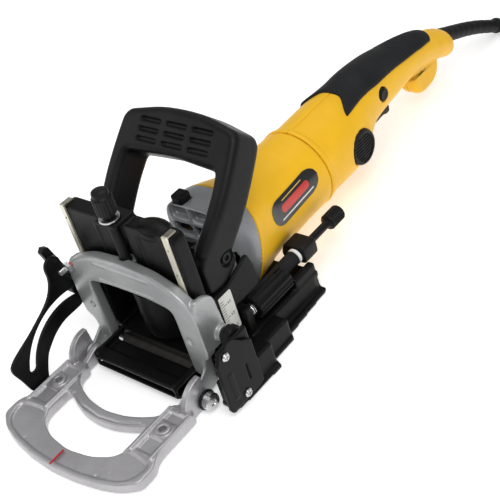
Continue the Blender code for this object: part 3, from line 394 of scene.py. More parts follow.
# ---- cord --------------------------------------------------------------------------------
SLEEVE_ROUTE = [(0, 411, 45.6), (0.2, 424, 40.8), (0.6, 440, 34.9), (1.4, 456, 29), (3.4, 474, 21.6),
                (6.2, 490, 13.9), (7.6, 499.4, 9.8)]
CORD_ROUTE = [(7.7, 500, 9.6), (9.2, 509, 7.0), (10.4, 520, 5.0), (11, 532, 4.0), (11, 545, 3.9)]
CORD_RADIUS = 3.75
COIL_CENTRE = (63.4, 578.0)
COIL_LOW, COIL_PITCH = 3.9, 7.6
COIL_RADII = (52.4, 44.8, 37.2, 29.6)
TAIL_ROUTE = [(11, 592, 11.5), (11, 604, 10.9), (11.2, 615, 9.4), (11.9, 626, 8.4), (12.6, 637.4, 8.2)]


def eased(value, start, end):
    """0 before start, 1 after end, and smooth between."""
    t = min(max((value - start) / (end - start), 0), 1)
    return t * t * (3 - 2 * t)


def coil_points():
    """Two layers of four turns: inwards on the floor, up at the inside, then outwards on top."""
    made = []
    for step in range(1, 7 * 36 + 1):
        angle = step * 10
        inward = sum(eased(angle, 270 + 360 * k, 360 + 360 * k) for k in range(3))
        outward = sum(eased(angle, 1530 + 360 * k, 1620 + 360 * k) for k in range(3))
        radius = COIL_RADII[0] - COIL_PITCH * (inward - outward)
        height = COIL_LOW + COIL_PITCH * eased(angle, 1255, 1350)
        a = math.radians(180 - angle)
        made.append((COIL_CENTRE[0] + radius * math.cos(a), COIL_CENTRE[1] + radius * math.sin(a), height))
    return made


lead_in = smooth_rows(CORD_ROUTE + [(11, 562, 3.9), (11, 578, 3.9)], 3)
tail = smooth_rows([(11, 578, 11.5)] + TAIL_ROUTE, 3)
CORD_POINTS = lead_in + coil_points() + tail[1:]
cord_curve = bpy.data.curves.new("cord_lead", "CURVE")
cord_curve.dimensions = "3D"
cord_curve.bevel_depth = CORD_RADIUS * MM
cord_curve.bevel_resolution = 5
cord_curve.use_fill_caps = True
spline = cord_curve.splines.new("POLY")
spline.points.add(len(CORD_POINTS) - 1)
for target, point in zip(spline.points, CORD_POINTS):
    target.co = (*at(point), 1)
cord_lead = bpy.data.objects.new("cord_lead", cord_curve)
bpy.context.scene.collection.objects.link(cord_lead)
cord_curve.materials.append(CORD_SKIN)
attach(cord_lead, "motor_unit")
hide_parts("cord", "cord_coil")

PLUG_X, PLUG_Y = 14.0, 662.0
plug_outline = filleted([(PLUG_X - 25, PLUG_Y + 26), (PLUG_X + 25, PLUG_Y + 26), (PLUG_X + 25, PLUG_Y - 2),
                         (PLUG_X + 14, PLUG_Y - 23.5), (PLUG_X - 14, PLUG_Y - 23.5),
                         (PLUG_X - 25, PLUG_Y - 2)], 8)
plug = piece("plug_body", [extruded([plug_outline], 0.1, 20, "XY", 2.5),
                           rod((PLUG_X, PLUG_Y - 24, 8.2), (PLUG_X, PLUG_Y - 10, 8.2), 6)],
             "motor_unit", BLACK, ["mains_plug"], voxel=0.8, smooth=3,
             cuts=[block((PLUG_X - 13, PLUG_Y + 1, 18.9), (PLUG_X + 13, PLUG_Y + 2, 22))])
pins = piece("plug_pins", [block((PLUG_X - 2, PLUG_Y + 13, 18), (PLUG_X + 2, PLUG_Y + 21, 42)),
                           block((PLUG_X - 14.2, PLUG_Y - 9, 18), (PLUG_X - 8, PLUG_Y - 5, 38)),
                           block((PLUG_X + 8, PLUG_Y - 9, 18), (PLUG_X + 14.2, PLUG_Y - 5, 38))],
             "motor_unit", COPPER)

sleeve_rows = smooth_rows(SLEEVE_ROUTE, 8)
sleeve_radii = []
for i in range(len(sleeve_rows)):
    share = i / (len(sleeve_rows) - 1)
    taper = 7.2 - 1.4 * share
    groove = 0.3 if share > 0.18 and (i % 4) < 1 else 0.0
    sleeve_radii.append(7.1 if share > 0.95 else taper - groove)
piece("cord_sleeve", [swept(sleeve_rows, sleeve_radii, 32)], "motor_unit", CORD_SKIN,
      ["strain_relief"])


# ---- motor casing and rear grip ----------------------------------------------------------
def oval(half_width, half_height, centre_z, y, power=2.0, lean=0.0, count=88):
    points = []
    for i in range(count):
        a = 2 * math.pi * i / count
        c, s = math.cos(a), math.sin(a)
        x = half_width * math.copysign(abs(c) ** (2 / power), c)
        z = half_height * math.copysign(abs(s) ** (2 / power), s)
        points.append((x, y + lean * z, centre_z + z))
    return points


MOTOR_Z = 46.5
CASING_ROWS = smooth_rows([(110.0, 41.5, 39.0, 50.5, 2.5, 0.25), (124, 38.5, 37, 49, 2.4, 0.2),
                           (140, 35.5, 35, 47.5, 2.2, 0.12), (160, 34.3, 34.3, 46.5, 2.1, 0.04),
                           (182, 34.1, 34.1, 46.5, 2, 0), (203.6, 34, 34, 46.5, 2, 0)], 6)


def casing_row(y):
    row = CASING_ROWS[0]
    for one, two in zip(CASING_ROWS, CASING_ROWS[1:]):
        if one[0] <= y <= two[0]:
            t = (y - one[0]) / (two[0] - one[0])
            row = [a + (b - a) * t for a, b in zip(one, two)]
            break
    return row


def casing_surface(y, degrees, lift=0.0):
    """A point on the casing's skin at an angle up from +X, allowing for its lean."""
    c, s = math.cos(math.radians(degrees)), math.sin(math.radians(degrees))
    up = 0.0
    for _ in range(6):
        row = casing_row(y - up)
        height = row[2] * math.copysign(abs(s) ** (2 / row[4]), s)
        up = row[5] * height
    out = 1 + lift / row[1]
    return Vector((row[1] * out * abs(c) ** (2 / row[4]), y, row[3] + height * out))


casing_skin = [oval(w, h, z, y, p, lean) for y, w, h, z, p, lean in CASING_ROWS]
piece("casing_skin", [loft(casing_skin)], "motor_unit", YELLOW, ["motor_casing"],
      cuts=[rod((0, 90, MOTOR_Z), (0, 210, MOTOR_Z), 29.6, 64), block((-60, 100, 0), (60, 137, 15.3))]
      + [block((-48, 128, MOTOR_Z - 0.35), (-32, 202, MOTOR_Z + 0.35))],
      voxel=0.85, smooth=3)

GRIP_SECTIONS = [(204.2, 34.5, 34.5, 46.5), (208, 34.6, 34.6, 46.5), (210.4, 32.9, 33, 46.5),
                 (225, 32.8, 33.2, 46.5),
                 (248, 32.4, 33.6, 47), (264, 29.6, 31.6, 48.8), (276, 25.6, 28.6, 52.6),
                 (288, 23.2, 25.6, 56.8),
                 (304, 22, 23.6, 58.2), (322, 21, 21.6, 58), (340, 19.8, 18.6, 57), (365, 17.6, 15.6, 54.6),
                 (385, 16.2, 14.6, 50), (402, 15.2, 14.4, 44), (416, 13.6, 13.8, 38), (424, 9.4, 10.4, 34)]
GRIP_ROWS = smooth_rows(GRIP_SECTIONS, 6)
SHELL_WALL = 2.6


def grip_row(y):
    for one, two in zip(GRIP_ROWS, GRIP_ROWS[1:]):
        if one[0] <= y <= two[0]:
            t = (y - one[0]) / max(two[0] - one[0], 1e-6)
            return [a + (b - a) * t for a, b in zip(one, two)]
    return GRIP_ROWS[-1]


def half_ring(side, y, width, height, centre, count=30):
    outer, inner = [], []
    for i in range(count):
        a = math.pi / 2 - math.pi * i / (count - 1)
        c, s = max(math.cos(a), 0), math.sin(a)
        outer.append((side * (0.12 + (width - 0.12) * c), y, centre + height * s))
        inner.append((side * (0.12 + (width - SHELL_WALL - 0.12) * c), y, centre + (height - SHELL_WALL) * s))
    return outer + list(reversed(inner))


def grip_shell(side, tag):
    shell = loft([half_ring(side, *row) for row in GRIP_ROWS])
    lobe = filleted(arc(382, 32, 17.5, 20, -70, 5) + arc(374, 30, 15.5, -90, -180, 5) + [(358.5, 44),
                                                                                         (398.5, 46)], 5)
    low, high = sorted((side * 0.12, side * -20))
    cuts = [block((low, 345, 0), (high, 405, 31)),
            block((min(side * -1.0, side * 6.8), 284, 26), (max(side * -1.0, side * 6.8), 324, 44)),
            rod((side * 27, 251, 43), (side * 45, 251, 43), 14.6, 64),
            rod((0, 404, 48.2), (0, 440, 34.9), 7.6, 40)]
    if side > 0:
        cuts.append(rod((12, 299, 60), (30, 299, 60), 6.1, 40))
    piece("grip_shell_" + tag, [shell, extruded([lobe], -8.8, 8.8, "YZ", 4.5)], "motor_unit", YELLOW,
          ["handle_shell_" + tag], cuts=cuts, voxel=0.8, smooth=3)


grip_shell(1, "right")
grip_shell(-1, "left")


def pad_edge(share):
    """How far back the pad's front edge starts, at a share of its width from the middle."""
    return 261.5 - 12.0 * eased(abs(share), 0.3, 1.0)


def grip_cover():
    """Rubber saddle over the grip: rounded rim, fine ribs where the palm's heel sits."""
    rows, across = 90, 48
    outer, inner = [], []
    for i in range(rows + 1):
        u = i / rows
        top, under = [], []
        for j in range(across + 1):
            v = 2 * j / across - 1
            y = pad_edge(v) * (1 - u) + (391 - 7 * abs(v) ** 3) * u
            _, width, height, centre = grip_row(y)
            spread = 45 + 15 * eased(y, 262, 300) - 8 * eased(y, 365, 391)
            a = math.radians(90 - v * spread)
            rim = min(min(u, 1 - u) * 130 / 2.2, (1 - abs(v)) * 22 / 2.2, 1)
            rib = 0.35 * math.sin(2 * math.pi * y / 4.2) * eased(y, 336, 342) * (1 - eased(y, 380, 386))
            lift = 0.2 + 2.0 * math.sqrt(max(1 - (1 - rim) ** 2, 0)) + rib * eased(1 - abs(v), 0.05, 0.2)
            top.append(((width + lift) * math.cos(a), y, centre + (height + lift) * math.sin(a)))
            under.append(((width + 0.1) * math.cos(a), y, centre + (height + 0.1) * math.sin(a)))
        outer.append(top)
        inner.append(under)
    return loft([a + list(reversed(b)) for a, b in zip(outer, inner)])


piece("grip_cover", [grip_cover()], "motor_unit", RUBBER, ["grip_pad"], angle=60)


VENT_Y, VENT_Z, VENT_REACH = 251, 43, 11.8


def vent(side, tag):
    """Round vent: a rim, a dished grille of slats, and a bar across."""
    def ring(profile):
        return turned(profile, (side * 27.4, VENT_Y, VENT_Z), (side, 0, 0), 72)
    shapes = [ring([(11.4, 0.5), (11.4, 4.6), (12.6, 5.2), (13.8, 4.8), (14.3, 3.8), (14.3, 0), (11.4, 0)]),
              ring([(0, 0), (11.8, 0), (11.8, 1.6), (0, 1.6)])]
    for step in range(-4, 5):
        offset = step * 2.5
        reach = math.sqrt(max(VENT_REACH ** 2 - offset ** 2, 1))
        x, z = side * 30.2, VENT_Z + offset
        shapes.append(block((x - 1.6, VENT_Y - reach, z - 0.62), (x + 1.6, VENT_Y + reach, z + 0.62)))
    shapes.append(block((side * 30 - 1.4, 250, 32), (side * 30 + 1.4, 252, 54)))
    piece("vent_grille_" + tag, shapes, "motor_unit", BLACK, ["vent_disc_" + tag])


vent(1, "right")
vent(-1, "left")
trigger_outline = filleted([(285.2, 32.8), (284.4, 28.4), (287, 25.8), (302, 27.4), (314, 28.2), (319, 26.0),
                            (323.2, 27.4), (323.4, 34.4), (318, 36.5), (300, 37.2)], 3)
piece("switch_paddle", [extruded([trigger_outline], -6.2, 6.2, "YZ", 1.4)], "trigger", BLACK,
      ["trigger"])
piece("lock_on_cap", [turned([(0, 0.7), (2.6, 0.75), (4.2, 1.0), (5.1, 0.5), (5.5, -0.4), (5.5, -8), (0, -8)],
                             (22.4, 299, 60), (1, 0, 0), 48)], "lock_on", BLACK,
                             ["lock_on_button"])


# ---- side label --------------------------------------------------------------------------
def label_patch(name, low_y, high_y, low, high, lift, look, corner, columns=60):
    """A thin patch that follows the casing: y along it, angle round it, with rounded ends."""
    bm = bmesh.new()
    rows = []
    for i in range(columns + 1):
        y = low_y + (high_y - low_y) * i / columns
        inset = 0.0
        for end in (y - low_y, high_y - y):
            if end < corner:
                inset = max(inset, 1 - math.sqrt(max(1 - (1 - end / corner) ** 2, 0)))
        middle, half = (low + high) / 2, (high - low) / 2 * (1 - inset * 0.98)
        tilt = (y - (low_y + high_y) / 2) * 0.13
        row = [[], []]
        for k in range(17):
            degrees = middle + tilt + half * (k / 8 - 1)
            row[0].append(bm.verts.new(casing_surface(y, degrees, 0.05)))
            row[1].append(bm.verts.new(casing_surface(y, degrees, lift)))
        rows.append(row)
    for one, two in zip(rows, rows[1:]):
        for k in range(16):
            bm.faces.new((one[1][k], one[1][k + 1], two[1][k + 1], two[1][k]))
            bm.faces.new((one[0][k], two[0][k], two[0][k + 1], one[0][k + 1]))
        for k, flip in ((0, False), (16, True)):
            face = (one[0][k], one[1][k], two[1][k], two[0][k])
            bm.faces.new(tuple(reversed(face)) if flip else face)
    for row, flip in ((rows[0], True), (rows[-1], False)):
        for k in range(16):
            face = (row[0][k], row[0][k + 1], row[1][k + 1], row[1][k])
            bm.faces.new(tuple(reversed(face)) if flip else face)
    piece(name, [bm], "motor_unit", look, angle=50)


label_patch("label_plate", 134, 192.5, 3, 34, 0.35, LABEL_BLACK, 13)
label_patch("label_band", 146, 181, 14, 24, 0.45, LABEL_RED, 3)
label_patch("label_line_low", 143, 184, 8.2, 9.8, 0.45, LABEL_WHITE, 1)
label_patch("label_line_high", 150, 176, 28, 29.2, 0.45, LABEL_GOLD, 1)


# ---- gear head ---------------------------------------------------------------------------
HEAD_ROWS = smooth_rows([(91, 24, 32.5, 58.5, 5.0, 0.0), (92.6, 25.6, 34.5, 57.5, 4.6, 0.0),
                         (97, 28.5, 36.6, 55, 4.0, 0.05),
                         (102, 33, 38, 52.5, 3.4, 0.1), (106, 38, 38.8, 51.2, 2.9, 0.18),
                         (109.7, 41.5, 39, 50.5, 2.5, 0.25)], 5)
def gear_bores():
    """The spindle's bore and gear room, and the shaft's bore with its bearing seat."""
    return [rod((0, SPINDLE_Y, 18), (0, SPINDLE_Y, 57.5), 10.4, 48),
            rod((0, SPINDLE_Y, 28), (0, SPINDLE_Y, 49), 21.5, 56),
            rod((0, SPINDLE_Y, MOTOR_Z), (0, 130, MOTOR_Z), 9, 40),
            rod((0, 83.7, MOTOR_Z), (0, 130, MOTOR_Z), 13.4, 40)]


head_cuts = gear_bores()
head_cuts += [rod((0, 96, MOTOR_Z), (0, 135, MOTOR_Z), 29.6, 64),
              block((-16.5, 92.5, 85.8), (-5.5, 104, 110)),
             block((-60, 85, 0), (60, 115, 15.3)), block((-40, 75, 0), (40, 90.9, 22.5))]
for column in (-1, 1):
    for low, high in ((66.5, 76), (80.5, 90.2)):
        head_cuts.append(extruded([filleted([(column * 9.6 - 8, low), (column * 9.6 + 8, low),
                                             (column * 9.6 + 8, high), (column * 9.6 - 8, high)], 2)], 85,
                                             96, "XZ"))
piece("gear_nose", [rod((0, 54, 22.5), (0, 54, 60), 25, 96), block((-21, 60, 22.6), (21, 90.9, 59.9)),
                    rod((0, 54, 59), (0, 54, 61.2), 16, 64)],
      "motor_unit", DEEP_BLACK, cuts=gear_bores(), voxel=0.8, smooth=4)
piece("gear_head", [loft([oval(w, h, z, y, p, lean) for y, w, h, z, p, lean in HEAD_ROWS]),
                    block((-19, 90, 63.5), (19, 93, 65)), block((-19, 90, 77.4), (19, 93, 79)),
                    rod((24, 97, 70), (24, 107, 70), 6, 32), rod((-24, 97, 70), (-24, 107, 70), 6, 32)],
      "motor_unit", GEAR_GREY, ["gear_housing"], cuts=head_cuts, voxel=0.8, smooth=4)
piece("lock_pin_cap", [node_shape("spindle_lock_button")], "spindle_lock", BLACK,
      ["spindle_lock_button"], voxel=0.4, smooth=2)
STOP_X, STOP_Z = 47.5, 30.0
lug_outline = filleted([(36.2, 36.5), (54, 36.5), (55, 34), (55, 24.5), (53, 22.6), (34.2, 22.6),
                        (32.5, 27.5)], 3)
piece("stop_lug", [extruded([lug_outline], 135, 150.5, "XZ", 1.5)], "motor_unit", BLACK,
      ["depth_lug"],
      cuts=[rod((STOP_X, 120, STOP_Z), (STOP_X, 160, STOP_Z), 3.5, 32)])
knob = [(0, 189), (4.6, 189), (5.8, 188.4)] + [(6.4, 187.4 - 0.6 * i) for i in range(22)]
knob += [(5.9, 173.9), (3.6, 173.2), (3.1, 172.6), (3.1, 130.6), (0, 130.6)]
piece("stop_rod", [turned(knob, (STOP_X, 0, STOP_Z), (0, 1, 0), 144, (175.2, 187.3, 24, 0.5))], "depth_rod",
      BLACK,
      ["depth_rod"])
piece("stop_ring", [turned([(3.4, 0), (5.4, 0), (6, 0.6), (6, 2.4), (5.4, 3), (3.4, 3)],
                            (STOP_X, 131.4, STOP_Z), (0, 1, 0), 64)],
      "depth_rod", WHITE, ["depth_lock_nut"])
bellows = [(3.5, 112.7), (3.5, 131.0), (5.8, 131.0)]
bellows += [(5.8 if i % 2 else 5.5, 130.6 - 0.6 * i) for i in range(29)] + [(5.8, 112.7)]
dust_sleeve = piece("dust_sleeve", [turned(bellows, (STOP_X, 0, STOP_Z), (0, 1, 0), 64)], "base", RUBBER)
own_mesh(dust_sleeve)


# ---- D-handle ----------------------------------------------------------------------------
LEAN = math.radians(45)
HANDLE_Y, HANDLE_Z, HANDLE_DEPTH = 95.8, 140.6, 28
BOLT_Y, BOLT_Z = 69.5, 80


def in_handle(bm):
    """Carry a shape drawn upright to the handle's lean."""
    c, s = math.cos(LEAN), math.sin(LEAN)
    for vert in bm.verts:
        x, y, z = vert.co
        vert.co = (x, HANDLE_Y + z * c + y * s, HANDLE_Z + z * s - y * c)
    return bm


handle_outer = [(0, 26.5), (21, 25.5), (40, 21.5)] + arc(41.5, 9.5, 12, 62, 12, 4)
handle_outer += [(55, -6), (56, -27), (54.8, -46), (52.3, -67)]
handle_inner = [(40.2, -67), (42.3, -46), (43, -27), (42, -14)] + arc(38.2, -12.5, 3.6, 20, 85,
                                                                      3) + [(0, -6.5)]
handle_half = handle_outer + handle_inner
handle_ring = handle_half + [(-x, y) for x, y in reversed(handle_half) if x > 0]
handle_cuts = []
for up in (0.5, 7.5, 14.5):
    for column in (-1, 0, 1):
        x = column * 24.0
        slot = filleted([(x - 9.5, up - 1.6), (x + 9.5, up - 1.6), (x + 9.5, up + 1.6), (x - 9.5, up + 1.6)],
                        1.2)
        handle_cuts.append(in_handle(extruded([slot], -1, 2.6, "XZ")))
handle_shapes = [in_handle(extruded([filleted(handle_ring, 9, 6)], 0, HANDLE_DEPTH, "XZ", 5.2))]
for side in (-1, 1):
    lug = filleted([(47, 66), (47, 88), (56, 96), (74, 90), (78, 74), (66, 64.3), (50, 64.3)], 4)
    low, high = sorted((side * 45.9, side * 52.1))
    handle_shapes.append(extruded([lug], low, high, "YZ", 0.8))
    handle_cuts.append(rod((side * 49.3, BOLT_Y, BOLT_Z), (side * 60, BOLT_Y, BOLT_Z), 6.2, 48))
piece("front_handle", handle_shapes, "base", BLACK, ["d_handle"], cuts=handle_cuts,
      voxel=0.75, smooth=4)
for side, tag in ((-1, "left"), (1, "right")):
    x = side * 49.6
    head = turned([(0, 0), (4.4, 0), (4.4, 1.2), (3.9, 2.0), (0, 2.0)], (x, BOLT_Y, BOLT_Z), (side, 0, 0), 48)
    piece("handle_bolt_" + tag, [head], "base", STEEL if side < 0 else BLACK,
          ["handle_screw_" + tag],
          cuts=[rod((x + side * 0.8, BOLT_Y, BOLT_Z), (x + side * 4, BOLT_Y, BOLT_Z), 2.2, 6)])


# ---- front wall, base and side guard -----------------------------------------------------
wall_outline = filleted([(-53, 18.3), (-42, 18.3), (-42, 62), (-38, 66), (38, 66), (42, 62), (42, 18.3),
                         (53, 18.3),
                         (53, 121), (50, 125), (-50, 125), (-53, 121)], 4)
wall_shapes = [extruded([wall_outline], 31, 43, "XZ", 1.2), ball((30, 38.5, 121.5), (15, 9.5, 6.2)),
               block((-10, 24, 124.8), (10, 42.9, 127.9)),
               extruded([filleted([(58, 44), (58, 63), (84, 74), (88, 58),
                                                                             (88, 44)], 4)], 52.4, 54.9,
                                                                             "YZ")]
for side in (-1, 1):
    low, high = sorted((side * 45.8, side * 55.0))
    wall_shapes.append(block((low, 37, 18.3), (high, 61, 64)))
    rib_low, rib_high = sorted((side * 19.0, side * 21.0))
    wall_shapes.append(block((rib_low, 30.2, 70), (rib_high, 32, 118)))
wall_cuts = [block((-7.7, 30, 60), (7.7, 36.7, 126)), rod((0, 30, 110), (0, 30, 130), 4.1, 32)]
piece("portal_wall", wall_shapes, "base", DEEP_BLACK, ["front_wall"], cuts=wall_cuts,
      voxel=0.85, smooth=3)
piece("base_body", [node_shape("base_casting")], "base", DEEP_BLACK, ["base_casting"],
      voxel=0.9, smooth=2)
piece("cover_plate", [node_shape("side_cover"), block((82.4, 14.2, 12), (83.1, 18, 34))], "base", DEEP_BLACK,
      ["side_cover"], voxel=0.55, smooth=3)
for tag, y, z in (("upper", 17, 49), ("lower", 25, 9.0)):
    piece("cover_bolt_" + tag, [turned([(0, 0), (3.1, 0), (3.1, 0.7), (2.3, 1.6), (0, 1.8)], (83.1, y, z),
                                       (1, 0, 0), 40)],
          "base", STEEL, ["cover_screw_" + tag],
          cuts=[block((84.0, y - 1.9, z - 0.38), (86, y + 1.9, z + 0.38)),
                block((84.0, y - 0.38, z - 1.9), (86, y + 0.38, z + 1.9))])


# ---- scales ------------------------------------------------------------------------------
piece("height_scale", [extruded([filleted([(47.5, 30), (60, 30), (60, 62), (47.5, 62)], 1)], 55.3, 56.1,
                                "YZ", 0.15)], "base",
      PLATE_WHITE)
ticks = []
for i in range(13):
    length = 5.5 if i % 5 == 0 else 3.2
    ticks.append(block((56.05, 47.9, 33 + 2.1 * i), (56.2, 47.9 + length, 33.35 + 2.1 * i)))
    if i % 5 == 0:
        ticks.append(block((56.05, 54.6, 32.4 + 2.1 * i), (56.2, 55.2, 34.2 + 2.1 * i)))
        ticks.append(block((56.05, 56.0, 32.4 + 2.1 * i), (56.2, 57.6, 32.8 + 2.1 * i)))
        ticks.append(block((56.05, 56.0, 33.9 + 2.1 * i), (56.2, 57.6, 34.3 + 2.1 * i)))
piece("height_scale_marks", ticks, "base", BLACK)
for side, tag in ((-1, "left"), (1, "right")):
    low, high = sorted((side * 46.2, side * 50.4))
    piece("slide_strip_" + tag, [node_shape("guide_strip_" + tag)], "base", ZINC,
          ["guide_strip_" + tag],
          cuts=[rod(((low + high) / 2, 28, z), ((low + high) / 2, 32, z), 0.8, 24) for z in (96, 116)])


# ---- arch bracket ------------------------------------------------------------------------
HINGE_Y, HINGE_Z = 8.2, 7.6
LOCK_KNOB_Y, LOCK_KNOB_Z = 37, 45
LOCK_Y = HINGE_Y + 46 * math.cos(math.radians(66))
LOCK_Z = HINGE_Z + 46 * math.sin(math.radians(66))
FRONT, REAR = 20.5, 28.9
arch_outer = [(0, 97), (28, 94.5), (48, 87), (57, 79), (61, 70), (61, 36), (58, 31.5), (53.2, 28.5),
              (53.2, 10)]
arch_inner = [(50.7, 10), (50.7, 13), (40.6, 13), (40.6, 66), (38, 70), (20, 72.4), (0, 73)]
arch_half = arch_outer + arch_inner
arch_ring = arch_half + [(-x, z) for x, z in reversed(arch_half) if x > 0]
arch_shapes = [extruded([filleted(arch_ring, 7, 6)], FRONT, REAR, "XZ", 1.3)]
arch_cuts = [rod((0, 30, 60), (0, 30, 100), 4.3, 32), rod((-56, 19.5, 78), (-56, 24.5, 78), 2.5, 24),
             rod((-59, LOCK_Y, LOCK_Z), (-63, LOCK_Y, LOCK_Z), 3.1, 24)]
for side in (-1, 1):
    foot = [(REAR - 1, 3.5), (REAR - 1, 22), (FRONT + 1, 22)] + arc(HINGE_Y, HINGE_Z, 6.9, 70, 270, 15)
    low, high = sorted((side * 50.75, side * 53.1))
    arch_shapes.append(extruded([foot], low, high, "YZ", 0.3))
    low, high = sorted((side * 56.9, side * 60.9))
    flange = filleted([(REAR - 5, 36), (REAR - 5, 80), (34, 79), (41, 73.5), (43.5, 42), (38, 36)], 4)
    arch_shapes.append(extruded([flange], low, high, "YZ", 1.0))
    arch_cuts.append(rod((side * 38, HINGE_Y, HINGE_Z), (side * 60, HINGE_Y, HINGE_Z), 3.3, 40))
    arch_cuts.append(rod((side * 47.5, FRONT - 1, 45), (side * 47.5, FRONT + 2.4, 45), 2.6, 32))
for z_low, z_high in ((74.5, 76), (88.5, 90)):
    arch_shapes.append(block((-26, FRONT - 0.5, z_low), (26, FRONT + 1, z_high)))
arch_shapes += [block((-7, REAR - 2, 86), (7, 36, 94)), rod((60, LOCK_KNOB_Y, LOCK_KNOB_Z),
                                                            (64.5, LOCK_KNOB_Y, LOCK_KNOB_Z), 6, 40),
                rod((-60, LOCK_Y, LOCK_Z), (-62.2, LOCK_Y, LOCK_Z), 5, 32)]
piece("rising_bracket", arch_shapes, "arch", ARCH_METAL, ["arch_bracket"], cuts=arch_cuts,
      voxel=0.75,
      smooth=3)
piece("bracket_pointer", [rod((-53.5, FRONT + 0.2, 80), (-53.5, FRONT - 0.4, 80), 2.0, 24)], "arch", RED)


# ---- folding fence -----------------------------------------------------------------------
FENCE_LOW, FENCE_HIGH = 1.0, 9.5
fence_front = [(0, -85.5), (22, -84), (42, -80.5), (56, -76), (63, -71)] + arc(59, -63, 9, -35, 5, 3)
fence_side = [(68, -53), (62.8, -46), (62.4, -34), (62.4, -8), (60.4, -5.2)]
fence_rear = [(41.2, -5.2), (41.6, -18)] + [(x, -32 + 14 * (x / 41.6) ** 2) for x in (30, 18, 0)]


def both_sides(half):
    return half + [(-x, y) for x, y in reversed(half) if x > 0]


crossbar = [(x, -41 + 14 * (x / 41.6) ** 2) for x in (0, 14, 27, 39)]
window = both_sides(crossbar + [(39, -52), (34, -59.5), (20, -66), (0, -69)])
fence_outline = filleted(both_sides(fence_front + fence_side + fence_rear), 6, 6)
fence_shapes = [extruded([fence_outline, filleted(window, 5, 6)], FENCE_LOW, FENCE_HIGH, "XY", 1.1)]
panel = both_sides([(0, -82.0), (21, -80.7), (41, -77.3), (54, -73.2), (60, -68.5), (63.2, -61), (63.4, -54),
                    (57, -52),
                    (41, -50.5), (33, -56), (19, -62), (0, -65)])
fence_cuts = [extruded([filleted(panel, 5, 6)], FENCE_HIGH - 1.5, FENCE_HIGH + 3, "XY")]
channel = both_sides([(0, -37.8), (18, -35.2), (34, -28.6), (34, -31.2), (18, -37.4), (0, -39.6)])
fence_cuts.append(extruded([channel], FENCE_HIGH - 1.1, FENCE_HIGH + 2, "XY"))
for side in (-1, 1):
    disc = arc(HINGE_Y, HINGE_Z, 19, 82, 180, 25) + [(HINGE_Y - 19, 1.02)] + arc(HINGE_Y, HINGE_Z, 6.55, 270,
                                                                                 420, 19)
    low, high = sorted((side * 53.5, side * 58.3))
    fence_shapes.append(extruded([disc], low, high, "YZ", 0.5))
    knuckle = [(-8, 1.03), (-8, 8)] + arc(HINGE_Y, HINGE_Z, 6.55, 120, -90, 21)
    low, high = sorted((side * 45.7, side * 50.4))
    fence_shapes.append(extruded([knuckle], low, high, "YZ", 0.4))
    for pair in ((53.5, 58.3), (45.7, 50.4)):
        low, high = sorted(side * x for x in pair)
        fence_shapes.append(block((low + 0.02, -10.9, 1.04), (high - 0.02, 1, 9)))
    fence_cuts.append(rod((side * 38, HINGE_Y, HINGE_Z), (side * 63, HINGE_Y, HINGE_Z), 3.3, 40))
    fence_shapes.append(rod((side * 52, -27, 6), (side * 52, -27, 11.5), 5.5, 40))
    fence_cuts.append(rod((side * 52, -27, -2), (side * 52, -27, 14), 2.6, 32))
    for x_low, x_high in ((41.6, 43.2), (60.2, 62)):
        low, high = sorted((side * x_low, side * x_high))
        fence_shapes.append(block((low, -50, 8), (high, -9, 10.9)))
    low, high = sorted((side * 45.4, side * 58.6))
    fence_cuts.append(block((low, -47, FENCE_HIGH - 1.2), (high, -34.5, FENCE_HIGH + 3)))
    fence_cuts.append(block((low, -20, FENCE_HIGH - 1.2), (high, -12, FENCE_HIGH + 3)))
    fence_cuts.append(rod((side * 36, -76, 7.6), (side * 36, -76, 12), 1.7, 24))
piece("fence_body", fence_shapes, "fence", CASTING, ["fence_casting"], cuts=fence_cuts,
      voxel=0.7, smooth=3)
piece("fence_mark", [block((-0.7, -84.6, 9.2), (0.7, -71.5, 9.75))], "fence", RED)


def quadrant_point(radius, degrees):
    a = math.radians(degrees)
    return (HINGE_Y + radius * math.cos(a), HINGE_Z + radius * math.sin(a))


quadrant_outer = [quadrant_point(r, a) for r, a in ((53, 62), (55, 76), (68, 82), (76, 80.5), (81, 84),
                                                    (81, 88.5),
                                                    (76, 92), (66, 92), (57, 97), (52.5, 106), (51.5, 118),
                                                    (53, 130),
                                                    (58, 141), (64, 150), (65, 156), (56, 166))]
quadrant_inner = [quadrant_point(r, a) for r, a in ((33, 150), (31.5, 138), (31, 120), (31, 100), (31, 80),
                                                    (35, 62))]
quadrant_ring = filleted(quadrant_outer + [(-42, 4), (-27, 4), (-27, 10)] + quadrant_inner, 9, 6)
angles = [63.5 + 95 * i / 30 for i in range(31)]
quadrant_slot = [quadrant_point(49.3, a) for a in angles] + arc(*quadrant_point(46, 158.5), 3.3, 158.5,
                                                                338.5, 9)[1:-1]
quadrant_slot += [quadrant_point(42.7, a) for a in reversed(angles)]
quadrant_slot += arc(*quadrant_point(46, 63.5), 3.3, 243.5, 423.5, 9)[1:-1]
piece("angle_plate", [extruded([quadrant_ring, quadrant_slot], -66.0, -63.2, "YZ", 0.5)], "fence",
      DEEP_BLACK,
      ["quadrant_plate"])
for i, (y, z) in enumerate(((-38, 7), (-31, 7))):
    piece("angle_plate_screw_%d" % (i + 1), [turned([(0, 0), (2.8, 0), (2.8, 0.6), (2.0, 1.5), (0, 1.7)],
                                                    (-66.3, y, z),
                                                    (-1, 0, 0), 40)], "fence", STEEL,
          ["quadrant_screw_%d" % (i + 1)], cuts=[block((-69, y - 1.7, z - 0.35), (-67.1, y + 1.7, z + 0.35))])
piece("clamp_lever", [node_shape("angle_lever")], "angle_lever", BLACK, ["angle_lever"],
      voxel=0.45, smooth=5)
